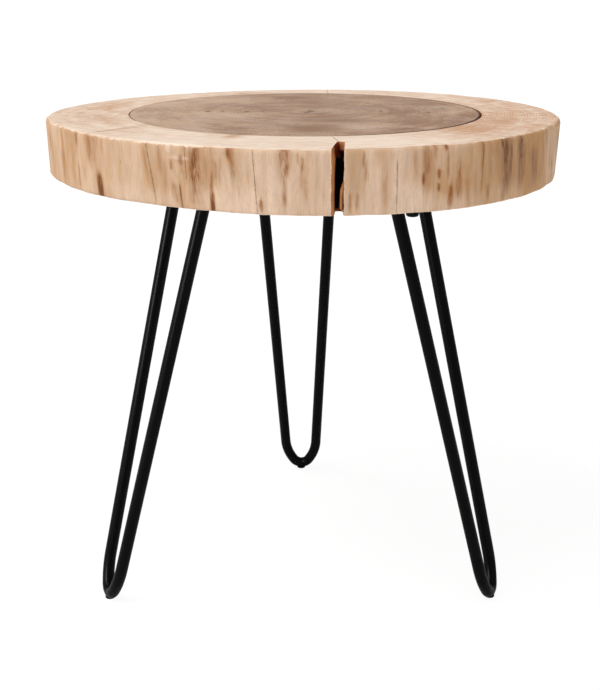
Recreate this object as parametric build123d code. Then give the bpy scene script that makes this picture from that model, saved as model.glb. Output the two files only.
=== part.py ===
from build123d import *
import math
import os

# Side table: a thick slice of a log with a flush round inlay, on three hairpin legs.
# Millimetres. +Z is up, the floor is z = 0, and the origin lies under the middle of the table.
# Directions are in degrees, counted anticlockwise from +X as seen from above.

# ---------------------------------------------------------------- driving dimensions

table_height = 473.6

# log slice; swells and insets are given for evenly spaced directions, from +X round
slab_thickness = 52.8
slab_radius = 233.5            # mean radius of the upper edge
upper_swell = (11.0, 10.3, 3.3, -6.5, -10.7, 2.6, 11.0, -3.0, -11.6, -6.0, -2.0, 3.5)
lower_inset = (2.3, 2.1, 1.3, 2.3, 1.9, 1.3, 1.2, 1.6, 4.1, 3.3, -1.4, -1.2)
upper_arris = 4.0              # rounding of the upper edge
lower_arris = 2.5              # rounding of the lower edge

# flush inlay disc, glued into a recess in the slice
inlay_diameter = 337.6
inlay_thickness = 20.0
inlay_gap = 0.8                # between the disc and the wall of its recess, on average
inlay_arris = 0.6
inlay_centre = (2.6, 12.9)     # of the recess
inlay_drift = (-0.5, 0.3)      # how far the disc lies off the middle of its recess

# drying crack at the front: a blunt slot open at the rim, with a hairline on to the recess
crack_mouth = (21.0, 31.2)     # X of its two walls where it leaves the rim
crack_end_above = (27.0, 33.0)  # X of its two walls at its inner end, at the top
crack_end_below = (25.3, 32.5)  # the same at the underside
crack_depth_above = 41.0       # how far it reaches inwards at the top
crack_depth_below = 23.0       # how far it reaches inwards at the underside
hairline_width = 0.8
hairline_depth = 12.0
hairline_start_x = 28.0        # X where it leaves the slot
hairline_end_x = 22.8          # X where it meets the recess

# hairpin rods
rod_diameter = 12.0
rod_spread = 78.8              # between the centre lines, where they meet the plate
shoulder_spread = 38.0         # between the centre lines, where the straight runs end
shoulder_height = 34.0         # of that place above the lowest centre line, along the leg
foot_radius = 11.0             # of the centre line, in the tight bend of the foot
leg_splay = 102.4              # how far the foot stands out from the rod's upper ends

# small round disc under each foot, hollowed to sit round the rod
foot_disc_diameter = 10.0
foot_disc_height = 1.8
foot_disc_base = 0.8           # left between the rod and the floor
foot_disc_edge = 0.3           # chamfer of its lower edge

# where each leg is screwed on: the middle of its plate, and the way it splays
leg_names = ("back", "left", "right")
leg_x = (-6.9, -102.8, 96.1)
leg_y = (115.5, -48.8, -51.3)
leg_headings = (86.3, 205.4, 336.9)

# mounting plates
plate_length = 112.0           # across the rods
plate_width = 68.0
plate_thickness = 4.0
plate_corner = 9.0             # corner radius

# fillet welds round the rod ends
weld_size = 4.0
weld_lip = 0.5                 # thickness of the bead's edge on the rod

# pan-head wood screws
screw_diameter = 4.8
screw_length = 26.0            # under the head
screw_point = 6.0              # length of the tapered end
screw_tip_diameter = 1.0
screw_head_diameter = 9.6
screw_head_height = 3.2
screw_head_rounding = 1.7      # radius of the head's rounded rim
screw_inset = 10.0             # from a screw's axis to the plate's edges
cross_length = 5.0             # cross recess in the head
cross_width = 1.3
cross_depth = 1.6
hole_clearance = 0.1           # radial, round a screw
hole_spare = 1.5               # depth of a hole beyond the screw's tip

# single screw in the underside, close to the rim
rim_screw_direction = 293.0
rim_screw_inset = 10.6         # from the mean upper edge to the screw's axis
rim_head_diameter = 10.6
rim_head_height = 3.8

cut_overrun = 10.0             # how far a cut runs on past the surface it opens

# ---------------------------------------------------------------- derived sizes

underside = table_height - slab_thickness
front_reach = slab_radius + upper_swell[len(upper_swell) * 3 // 4]
plate_face = underside - plate_thickness
rod_radius = rod_diameter / 2
half_spread = rod_spread / 2
half_shoulder = shoulder_spread / 2
inlay_radius = inlay_diameter / 2
recess_radius = inlay_radius + inlay_gap
hole_radius = screw_diameter / 2 + hole_clearance

leg_drop = plate_face - rod_radius - foot_disc_base
leg_length = math.hypot(leg_splay, leg_drop)
rod_closing = math.atan2(half_spread - half_shoulder, leg_length - shoulder_height)

# the wide bend of each shoulder runs on from the straight and leads into the tight bend
shoulder_rise = shoulder_height - foot_radius
shoulder_radius = (half_shoulder**2 + shoulder_rise**2 - foot_radius**2) / 2 / (
    half_shoulder * math.cos(rod_closing) - shoulder_rise * math.sin(rod_closing) - foot_radius
)
shoulder_centre_x = shoulder_radius * math.cos(rod_closing) - half_shoulder
foot_turn = math.asin(shoulder_centre_x / (shoulder_radius - foot_radius))

UPWARDS = (Align.CENTER, Align.CENTER, Align.MIN)
DOWNWARDS = (Align.CENTER, Align.CENTER, Align.MAX)

# ---------------------------------------------------------------- log slice and inlay


def outline(swell, height):
    """Closed natural outline at one height, smooth through one point for each direction."""
    count = len(swell)
    step = 2 * math.pi / count
    handle = 4 / 3 * math.tan(step / 4) / (2 * math.sin(step))
    points = []
    for index, extra in enumerate(swell):
        reach = slab_radius + extra
        points.append(Vector(reach * math.cos(index * step), reach * math.sin(index * step), height))
    spans = []
    for index, start in enumerate(points):
        before, end, after = points[index - 1], points[(index + 1) % count], points[(index + 2) % count]
        leaving, arriving = (end - before) * handle, (after - start) * handle
        spans.append(Bezier(start, start + leaving, end - arriving, end))
    return Face(Wire(spans))


def recess():
    """Round pocket that takes the inlay."""
    place = Pos(inlay_centre[0], inlay_centre[1], table_height - inlay_thickness)
    return place * Cylinder(recess_radius, inlay_thickness + cut_overrun, align=UPWARDS)


def crack():
    """Slot that opens at the rim and reaches further in at the top than at the underside."""
    rim_y = -front_reach
    outer_y = rim_y - cut_overrun
    left, right = crack_mouth
    below = (underside, crack_depth_below, crack_end_below)
    above = (table_height, crack_depth_above, crack_end_above)
    levels = []
    for height, depth, (end_left, end_right) in (below, above):
        end_y = rim_y + depth
        corners = [(left, outer_y), (right, outer_y), (right, rim_y)]
        corners += [(end_right, end_y), (end_left, end_y), (left, rim_y)]
        levels.append(Face(Wire(Polyline(*[(x, y, height) for x, y in corners], close=True))))
    return loft(levels, ruled=True)


def hairline():
    """Fine crack in the top, from the slot's inner end to the recess."""
    start = Vector(hairline_start_x, crack_depth_above - front_reach - hairline_width)
    reach = hairline_end_x - inlay_centre[0]
    end = Vector(hairline_end_x, inlay_centre[1] - math.sqrt(inlay_radius**2 - reach**2))
    run = end - start
    turn = math.degrees(math.atan2(run.Y, run.X))
    slit = Box(run.length, hairline_width, hairline_depth, align=(Align.MIN, Align.CENTER, Align.MAX))
    return Location((start.X, start.Y, table_height), (0, 0, turn)) * slit


def log_slab():
    lower_swell = [upper - inset for upper, inset in zip(upper_swell, lower_inset)]
    body = loft([outline(lower_swell, underside), outline(upper_swell, table_height)], ruled=True)
    body = fillet(body.edges().group_by(Axis.Z)[-1], upper_arris)
    body = fillet(body.edges().group_by(Axis.Z)[0], lower_arris)
    body = body - recess() - crack() - hairline()
    depth = screw_length - plate_thickness + hole_spare
    for name in leg_names:
        body -= [leg_frame(name) * Pos(x, y, plate_thickness) * screw_hole(depth) for x, y in screw_spots()]
    return body - rim_screw_frame() * screw_hole(screw_length + hole_spare)


def inlay_disc():
    x, y = inlay_centre[0] + inlay_drift[0], inlay_centre[1] + inlay_drift[1]
    disc = Pos(x, y, table_height) * Cylinder(inlay_radius, inlay_thickness, align=DOWNWARDS)
    return chamfer(disc.edges().group_by(Axis.Z)[-1], inlay_arris)


# ---------------------------------------------------------------- screws


def screw_hole(depth):
    return Cylinder(hole_radius, depth, align=UPWARDS)


def wood_screw(head_diameter, head_height):
    """Pan-head screw, head hanging below the origin and shank standing up from it."""
    head, shank, tip = head_diameter / 2, screw_diameter / 2, screw_tip_diameter / 2
    shoulder = screw_length - screw_point
    side, flat = screw_head_rounding - head_height, head - screw_head_rounding
    bulge = screw_head_rounding * math.sqrt(0.5)
    profile = [
        Line((0, -head_height), (0, screw_length)),
        Line((0, screw_length), (tip, screw_length)),
        Line((tip, screw_length), (shank, shoulder)),
        Line((shank, shoulder), (shank, 0)),
        Line((shank, 0), (head, 0)),
        Line((head, 0), (head, side)),
        ThreePointArc((head, side), (flat + bulge, side - bulge), (flat, -head_height)),
        Line((flat, -head_height), (0, -head_height)),
    ]
    body = revolve(Plane.XZ * Face(Wire(profile)), Axis.Z)
    for turn in (0, 90):
        slot = Pos(0, 0, -head_height) * Rot(0, 0, turn) * Box(cross_length, cross_width, cross_depth * 2)
        body -= slot
    return body


def screw_spots():
    """Places of the screws on a plate: one in the middle and one near each corner."""
    along, aside = plate_length / 2 - screw_inset, plate_width / 2 - screw_inset
    return [(0, 0)] + [(x, y) for x in (-along, along) for y in (-aside, aside)]


def rim_screw_frame():
    reach, turn = slab_radius - rim_screw_inset, math.radians(rim_screw_direction)
    return Pos(reach * math.cos(turn), reach * math.sin(turn), underside)


def plate_screws():
    screw = wood_screw(screw_head_diameter, screw_head_height)
    return Compound([Pos(x, y, 0) * screw for x, y in screw_spots()])


# ---------------------------------------------------------------- legs
# A leg is made about the middle of its plate's lower face, with X across the rods
# and Y the way it splays, and is then carried to its place under the slice.


def leg_frame(name):
    leg = leg_names.index(name)
    return Location((leg_x[leg], leg_y[leg], plate_face), (0, 0, leg_headings[leg] - 90))


def leg_plane():
    """Sloping plane of the rod's centre line, whose Y runs up the leg."""
    return Plane(origin=(0, 0, 0), x_dir=(1, 0, 0), z_dir=(0, -leg_drop, -leg_splay))


def hairpin_rod():
    """One round bar: down, round the foot and up again, cut off level at the plate."""
    spare = rod_diameter
    top = half_spread + spare * math.tan(rod_closing)
    shoulder_y = shoulder_height - leg_length
    centre_y = shoulder_y + shoulder_radius * math.sin(rod_closing)
    turn, closing = math.degrees(foot_turn), math.degrees(rod_closing)
    sweep_angle = 90 - turn - closing
    run = Wire([
        Line((-top, spare), (-half_shoulder, shoulder_y)),
        CenterArc((shoulder_centre_x, centre_y), shoulder_radius, 180 + closing, sweep_angle),
        CenterArc((0, foot_radius - leg_length), foot_radius, 270 - turn, 2 * turn),
        CenterArc((-shoulder_centre_x, centre_y), shoulder_radius, turn - 90, sweep_angle),
        Line((half_shoulder, shoulder_y), (top, spare)),
    ])
    path = leg_plane() * run
    bar = sweep(Plane(origin=path @ 0, z_dir=path % 0) * Circle(rod_radius), path=path)
    return split(bar, bisect_by=Plane.XY, keep=Keep.BOTTOM)


def foot_disc(bar):
    """Disc on the floor under the bend, with a seat for the rod."""
    disc = Cylinder(foot_disc_diameter / 2, foot_disc_height, align=UPWARDS)
    disc = chamfer(disc.edges().group_by(Axis.Z)[0], foot_disc_edge)
    return Pos(0, leg_splay, -plate_face) * disc - bar


def weld_beads(bar):
    """Ring of weld round each end of the bar, in the corner between bar and plate."""
    slope = leg_plane()
    beads = []
    for side in (-1, 1):
        along = slope.x_dir * (-side * math.sin(rod_closing)) - slope.y_dir * math.cos(rod_closing)
        start = Vector(side * half_spread, 0, 0) - along * weld_size
        cone = Cone(rod_radius + 2 * weld_size, rod_radius + weld_lip, 2 * weld_size, align=UPWARDS)
        ring = Plane(origin=start, z_dir=along) * cone
        beads.append(split(ring, bisect_by=Plane.XY, keep=Keep.BOTTOM) - bar)
    return Compound(beads)


def mounting_plate():
    plate = Box(plate_length, plate_width, plate_thickness, align=UPWARDS)
    plate = fillet(plate.edges().filter_by(Axis.Z), plate_corner)
    return plate - [Pos(x, y, 0) * screw_hole(plate_thickness) for x, y in screw_spots()]


def leg_pieces():
    bar = hairpin_rod()
    return {
        "hairpin_rod": bar,
        "foot_disc": foot_disc(bar),
        "weld_beads": weld_beads(bar),
        "mounting_plate": mounting_plate(),
        "plate_screws": plate_screws(),
    }


# ---------------------------------------------------------------- table


def table_pieces():
    """Every sub-part of the table in its place, by name."""
    pieces = {"log_slab": log_slab(), "inlay_disc": inlay_disc()}
    pieces["rim_screw"] = rim_screw_frame() * wood_screw(rim_head_diameter, rim_head_height)
    for kind, piece in leg_pieces().items():
        for name in leg_names:
            pieces[f"{kind}_{name}"] = leg_frame(name) * piece
    return pieces


os.makedirs("parts", exist_ok=True)
for node, shape in table_pieces().items():
    export_step(shape, f"parts/{node}.step")
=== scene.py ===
import math
from collections import namedtuple

import bmesh
import bpy
import numpy as np
from bpy.props import FloatProperty, FloatVectorProperty, IntProperty, PointerProperty
from mathutils import Matrix, Vector
from mathutils.bvhtree import BVHTree


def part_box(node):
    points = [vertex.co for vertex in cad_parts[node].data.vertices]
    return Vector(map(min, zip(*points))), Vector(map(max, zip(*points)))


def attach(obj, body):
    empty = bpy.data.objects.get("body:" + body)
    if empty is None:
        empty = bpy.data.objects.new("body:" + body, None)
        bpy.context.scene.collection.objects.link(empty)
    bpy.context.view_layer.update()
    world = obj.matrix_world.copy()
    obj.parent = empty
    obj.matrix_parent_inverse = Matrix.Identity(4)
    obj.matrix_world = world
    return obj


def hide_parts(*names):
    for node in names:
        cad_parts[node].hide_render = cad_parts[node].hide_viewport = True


bl_info = {
    "name": "Log slice table",
    "version": (1, 0, 0),
    "blender": (4, 5, 0),
    "location": "3D View > Sidebar > Table",
    "description": "Builds a side table: a log slice with a round inlay on three hairpin legs",
    "category": "Object",
}

# Metres and degrees. +Z is up, the floor is z = 0, and the wide crack faces -Y.
# Directions are counted anticlockwise from +X as seen from above.

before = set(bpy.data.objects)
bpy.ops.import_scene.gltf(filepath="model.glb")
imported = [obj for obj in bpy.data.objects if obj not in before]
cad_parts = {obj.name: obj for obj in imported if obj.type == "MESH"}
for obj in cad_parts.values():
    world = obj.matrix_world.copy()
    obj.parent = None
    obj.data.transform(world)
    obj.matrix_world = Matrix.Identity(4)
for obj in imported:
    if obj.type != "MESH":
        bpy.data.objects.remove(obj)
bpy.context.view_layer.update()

MM = 0.001
WHITE = (1.0, 1.0, 1.0, 1.0)
COAT = "Black powder coat"
LEGS = {"back": 86.3, "left": 205.4, "right": 336.9}  # the way each leg splays
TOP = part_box("log_slab")[1].z
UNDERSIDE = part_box("log_slab")[0].z
THICKNESS = TOP - UNDERSIDE
PLATE_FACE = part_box("mounting_plate_back")[0].z


# ---------------------------------------------------------------- settings


def length(label, description, millimetres):
    """Size of the table, shown with its unit."""
    size = millimetres * MM
    return FloatProperty(name=label, description=description, default=size, min=0.0, unit="LENGTH")


def angle(label, description, degrees):
    turn = math.radians(degrees)
    return FloatProperty(name=label, description=description, default=turn, subtype="ANGLE")


def amount(label, description, value, **limits):
    return FloatProperty(name=label, description=description, default=value, **({"min": 0.0} | limits))


def coordinate(axis, metres):
    """One of the camera's three coordinates."""
    return FloatProperty(name="Camera " + axis, description="Camera's place", default=metres, unit="LENGTH")


def tint(label, description, shade):
    """Colour written as six hex digits and kept as linear light."""
    parts = [int(shade[i : i + 2], 16) / 255 for i in (0, 2, 4)]
    light = [p / 12.92 if p <= 0.04045 else ((p + 0.055) / 1.055) ** 2.4 for p in parts]
    return FloatVectorProperty(
        name=label, description=description, default=light, min=0.0, max=1.0, size=3, subtype="COLOR"
    )


class SliceSettings(bpy.types.PropertyGroup):
    upper_arris: length("Upper arris", "Rounding of the slice's upper edge", 4.0)
    lower_arris: length("Lower arris", "Rounding of the slice's lower edge", 2.5)
    recess_depth: length("Recess depth", "Depth of the pocket that takes the inlay", 20.0)
    lumps: length("Lumps", "Height of the broad swells on the natural side", 0.45)
    flutes: length("Flutes", "Height of the fine upright flutes on the natural side", 0.16)
    crack_above: length("Crack above", "How far the crack reaches inwards at the top", 41.0)
    crack_below: length("Crack below", "How far the crack reaches inwards at the underside", 23.0)
    hairline_depth: length("Hairline depth", "Depth of the fine crack that runs on to the inlay", 12.0)
    front_step: length("Front step", "Spacing of the mesh round the cracked side", 1.1)
    back_step: length("Back step", "Spacing of the mesh round the far side", 2.0)
    sapwood: tint("Sapwood", "Pale end grain near the rim", "FDE9D5")
    heartwood: tint("Heartwood", "Tan end grain and growth rings", "D3A684")
    side_pale: tint("Pale side", "Palest wood on the natural side", "EACBB0")
    side_tan: tint("Tan side", "Darker wood on the natural side", "C09161")
    stain: tint("Stain", "Brown streaks on the natural side", "A06533")
    # Greyer, darker stains towards the right: partly the stains' own colour, partly painted shade of the side
    # turned from the key light.
    weathered: tint("Weathered stain", "Greyer streaks on the right of the natural side", "946B4E")
    burnt: tint("Dark stain", "Middle of the darkest streaks", "6E3F1E")
    # Check colour is painted shade, brown, down in the checks' grooves.
    check: tint("Check", "Inside of the fine drying checks", "74492C")
    torn: tint("Torn wood", "Rough wood just inside the crack", "CD8B55")
    # Red wood: partly the wood's own red, partly painted shade further into the crack.
    red: tint("Red wood", "Wood at the inner end of the crack", "86300E")
    # Deep crack colour is painted shade: near black for the inside of the crack.
    deep: tint("Deep crack", "Wood deep inside the crack", "080301")


class InlaySettings(bpy.types.PropertyGroup):
    gap: length("Gap", "Mean gap between the inlay and its recess", 0.8)
    drift_x: length("Drift left", "How far the inlay lies to the left in its recess", 0.5)
    drift_y: length("Drift back", "How far the inlay lies to the back in its recess", 0.3)
    rounding: length("Rounding", "Rounding of the inlay's upper edge", 0.7)
    pale: tint("Pale", "Palest end grain of the inlay", "CFB29B")
    dark: tint("Dark", "Darker rays and patches of the inlay", "96745F")
    mark: tint("Marks", "Drying marks in the inlay", "4B3326")
    # Edge colour is painted shade: the shadow in the gap round the inlay and on its shaded side.
    edge: tint("Edge", "Browned edge of the inlay, where its gap is widest", "3A1C0C")


class LegSettings(bpy.types.PropertyGroup):
    bar: length("Bar", "Diameter of the round bar", 12.0)
    spread: length("Spread", "Between the bar's two ends, at the plate", 78.8)
    shoulder: length("Shoulder spread", "Between the bar's straight runs, where they end", 38.0)
    shoulder_height: length("Shoulder height", "Of the straight runs' ends, up the leg from the foot", 34.0)
    foot: length("Foot radius", "Radius of the bar's centre line in the tight bend of the foot", 11.0)
    disc: length("Disc", "Diameter of the small disc under each foot", 10.0)
    disc_height: length("Disc height", "Height of the small disc under each foot", 1.8)
    disc_base: length("Disc base", "How much of the disc lies between the bar and the floor", 0.8)
    splay: length("Splay", "How far each foot stands out from its plate", 102.4)
    sides: IntProperty(name="Sides", description="Faces round the bar", default=32, min=8)
    weld: length("Weld", "Thickness of the weld bead", 6.4)
    ripples: IntProperty(name="Ripples", description="Ripples in each ring of weld", default=26, min=3)
    coat: tint("Coat", "Black powder coat", "040404")


class PlateSettings(bpy.types.PropertyGroup):
    across: length("Length", "Plate's size across the bar ends", 112.0)
    along: length("Width", "Plate's size along the splay", 68.0)
    corner: length("Corner", "Radius of the plate's corners", 9.0)
    edge: length("Edge", "Softening of the plate's edges", 0.6)
    hole: length("Hole", "Diameter of the screw holes", 5.0)
    inset: length("Inset", "From a screw to the plate's edges", 10.0)


class ScrewSettings(bpy.types.PropertyGroup):
    head: length("Head", "Diameter of a plate screw's head", 9.6)
    head_height: length("Head height", "Height of a plate screw's head", 3.2)
    rim_head: length("Rim head", "Diameter of the rim screw's head", 10.6)
    rim_head_height: length("Rim head height", "Height of the rim screw's head", 3.8)
    shank: length("Shank", "Outer diameter of the thread", 4.8)
    reach: length("Length", "Length under the head", 26.0)
    pitch: length("Pitch", "Pitch of the thread", 2.0)
    cross: length("Cross", "Length of the cross recess", 5.0)
    cross_width: length("Cross width", "Width of the cross recess", 1.3)
    cross_depth: length("Cross depth", "Depth of the cross recess", 1.6)
    coat: tint("Coat", "Blackened steel", "080808")


class StageSettings(bpy.types.PropertyGroup):
    camera_x: coordinate("X", -0.004878)
    camera_y: coordinate("Y", -1.07621)
    camera_z: coordinate("Z", 0.60358)
    camera_down: angle("Camera tilt", "How far the camera looks down", 18.725)
    camera_right: angle("Camera turn", "How far the camera turns to the right", 0.134)
    lens: amount("Lens", "Focal length, in millimetres", 57.68, min=1.0)
    floor: tint("Floor", "Colour of the floor", "F8F8F8")
    plain: amount("Plain floor", "How far the seen floor is evened out to white", 0.85, max=1.0)
    glow: amount("Floor glow", "Brightness of the evened-out floor", 1.06)
    key: amount("Key light", "Strength of the high light from the left", 1.7)
    fill: amount("Fill light", "Strength of the light from the right", 0.4)
    side: amount("Side light", "Power of the low softbox on the left", 6.0)
    highlight: amount("Highlight", "Power of the softbox seen in the bars", 21.0)
    sky: amount("Sky", "Strength of the even surrounding light", 0.42)


# ---------------------------------------------------------------- meshes


def finish_piece(name, mesh, materials, record_slot, *nodes):
    """Makes a mesh a piece of the table: it rides on the table and stands for its CAD nodes."""
    for material in materials:
        if material.name not in mesh.materials:
            mesh.materials.append(material)
    piece = bpy.data.objects.new(name, mesh)
    bpy.context.scene.collection.objects.link(piece)
    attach(piece, "root")
    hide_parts(*nodes)
    return piece


def shade(mesh, degrees):
    """Smooth shading, with an edge wherever the surface turns by more than some degrees."""
    mesh.shade_smooth()
    mesh.set_sharp_from_angle(angle=math.radians(degrees))


def grid_faces(columns, rows, start=0, closed=False):
    """Quads between a grid's rows, whose vertices lie one row after another."""
    faces = []
    for row in range(rows - 1):
        for column in range(columns if closed else columns - 1):
            a, b = start + row * columns, start + (row + 1) * columns
            after = (column + 1) % columns
            faces.append((a + column, a + after, b + after, b + column))
    return faces


def circle(radius, count, middle=(0.0, 0.0)):
    """Points on a circle, anticlockwise."""
    turns = np.linspace(0.0, 2 * np.pi, count, endpoint=False)
    return [(middle[0] + radius * math.cos(t), middle[1] + radius * math.sin(t)) for t in turns]


def turned_mesh(name, rings, first_tip, last_tip, inside_out=False):
    """Closed mesh through rings of points, with a fan to a point at each end."""
    width, last = len(rings[0]), (len(rings) - 1) * len(rings[0])
    vertices = [point for ring in rings for point in ring] + [first_tip, last_tip]
    faces = grid_faces(width, len(rings), closed=True)
    tip = len(vertices) - 2
    for i in range(width):
        after = (i + 1) % width
        faces += [(tip, after, i), (tip + 1, last + i, last + after)]
    mesh = bpy.data.meshes.new(name)
    mesh.from_pydata(vertices, [], [face[::-1] for face in faces] if inside_out else faces)
    return mesh


def soft_step(values, start, end):
    """Rises smoothly from 0 at start to 1 at end."""
    share = np.clip((values - start) / (end - start), 0.0, 1.0)
    return share * share * (3.0 - 2.0 * share)


def ripple(turn, height, fewest, most, lean, seed):
    """Seeded ripple round the log, of about unit height: so many waves a turn, leaning with the height."""
    rng = np.random.default_rng(seed)
    counts = np.unique(np.linspace(fewest, most, 14).astype(int))
    total = 0.0
    for count in counts:
        total = total + np.sin(count * turn + rng.uniform(0.0, 2 * np.pi) + rng.normal(0.0, lean) * height)
    return total / math.sqrt(len(counts) / 2)


# ---------------------------------------------------------------- log slice
# Checks are the fine drying cracks, as narrow grooves. `direction` is where one crosses the upper
# edge; `lean_down` and `lean_in` are how far it has turned at the underside and at the recess.
# `side` is the stretch of the side that it takes, from 0 at the top to 1 at the underside, and
# `top` the stretch of the ring, from 0 at the rim to 1 at the recess. Width and depth in millimetres.

Check = namedtuple("Check", "direction lean_down lean_in side top width depth")
CHECKS = (
    Check(29.6, 0.3, -12.4, (0.0, 0.55), (0.0, 0.45), 0.8, 2.5),
    Check(57.0, 0.6, 0.0, (0.0, 1.0), (0.0, 0.04), 0.7, 2.2),
    Check(82.6, -0.5, -1.65, (0.0, 1.0), (0.0, 1.0), 0.4, 1.0),
    Check(124.0, 0.9, 0.0, (0.3, 1.0), (0.0, 0.0), 0.7, 2.0),
    Check(151.0, -0.8, 0.0, (0.0, 0.8), (0.0, 0.06), 0.8, 2.2),
    Check(176.0, 0.5, 0.0, (0.45, 1.0), (0.0, 0.0), 0.6, 1.8),
    Check(211.4, 0.4, 0.0, (0.08, 0.15), (0.0, 0.0), 0.7, 1.0),
    Check(216.5, 0.0, -2.9, (0.0, 0.0), (0.06, 1.0), 1.7, 2.4),
    Check(235.1, 1.5, 0.0, (0.05, 0.9), (0.0, 0.0), 0.6, 1.8),
    Check(242.4, 1.0, 0.0, (0.66, 1.0), (0.0, 0.0), 0.6, 1.5),
    Check(244.75, 0.1, 0.0, (0.06, 0.5), (0.0, 0.0), 0.5, 1.3),
    Check(259.75, 0.85, 0.0, (0.06, 0.96), (0.0, 0.0), 0.45, 1.3),
    Check(288.5, 0.2, 0.0, (0.2, 0.96), (0.0, 0.0), 0.5, 1.5),
    Check(308.9, -0.5, 0.0, (0.05, 0.75), (0.0, 0.0), 0.55, 1.6),
    Check(314.6, 0.0, 0.0, (0.05, 0.14), (0.0, 0.0), 0.8, 1.6),
    Check(337.5, 0.3, 0.0, (0.0, 0.7), (0.0, 0.0), 0.5, 1.4),
)

# Stains on the side: direction of the upper end, how far the lower end has turned, width in
# degrees, from where down to where as a share of the height above the underside, and how brown.
Stain = namedtuple("Stain", "direction lean width high low depth")


def stain_table(*values):
    return tuple(Stain(*row) for row in values)


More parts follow.
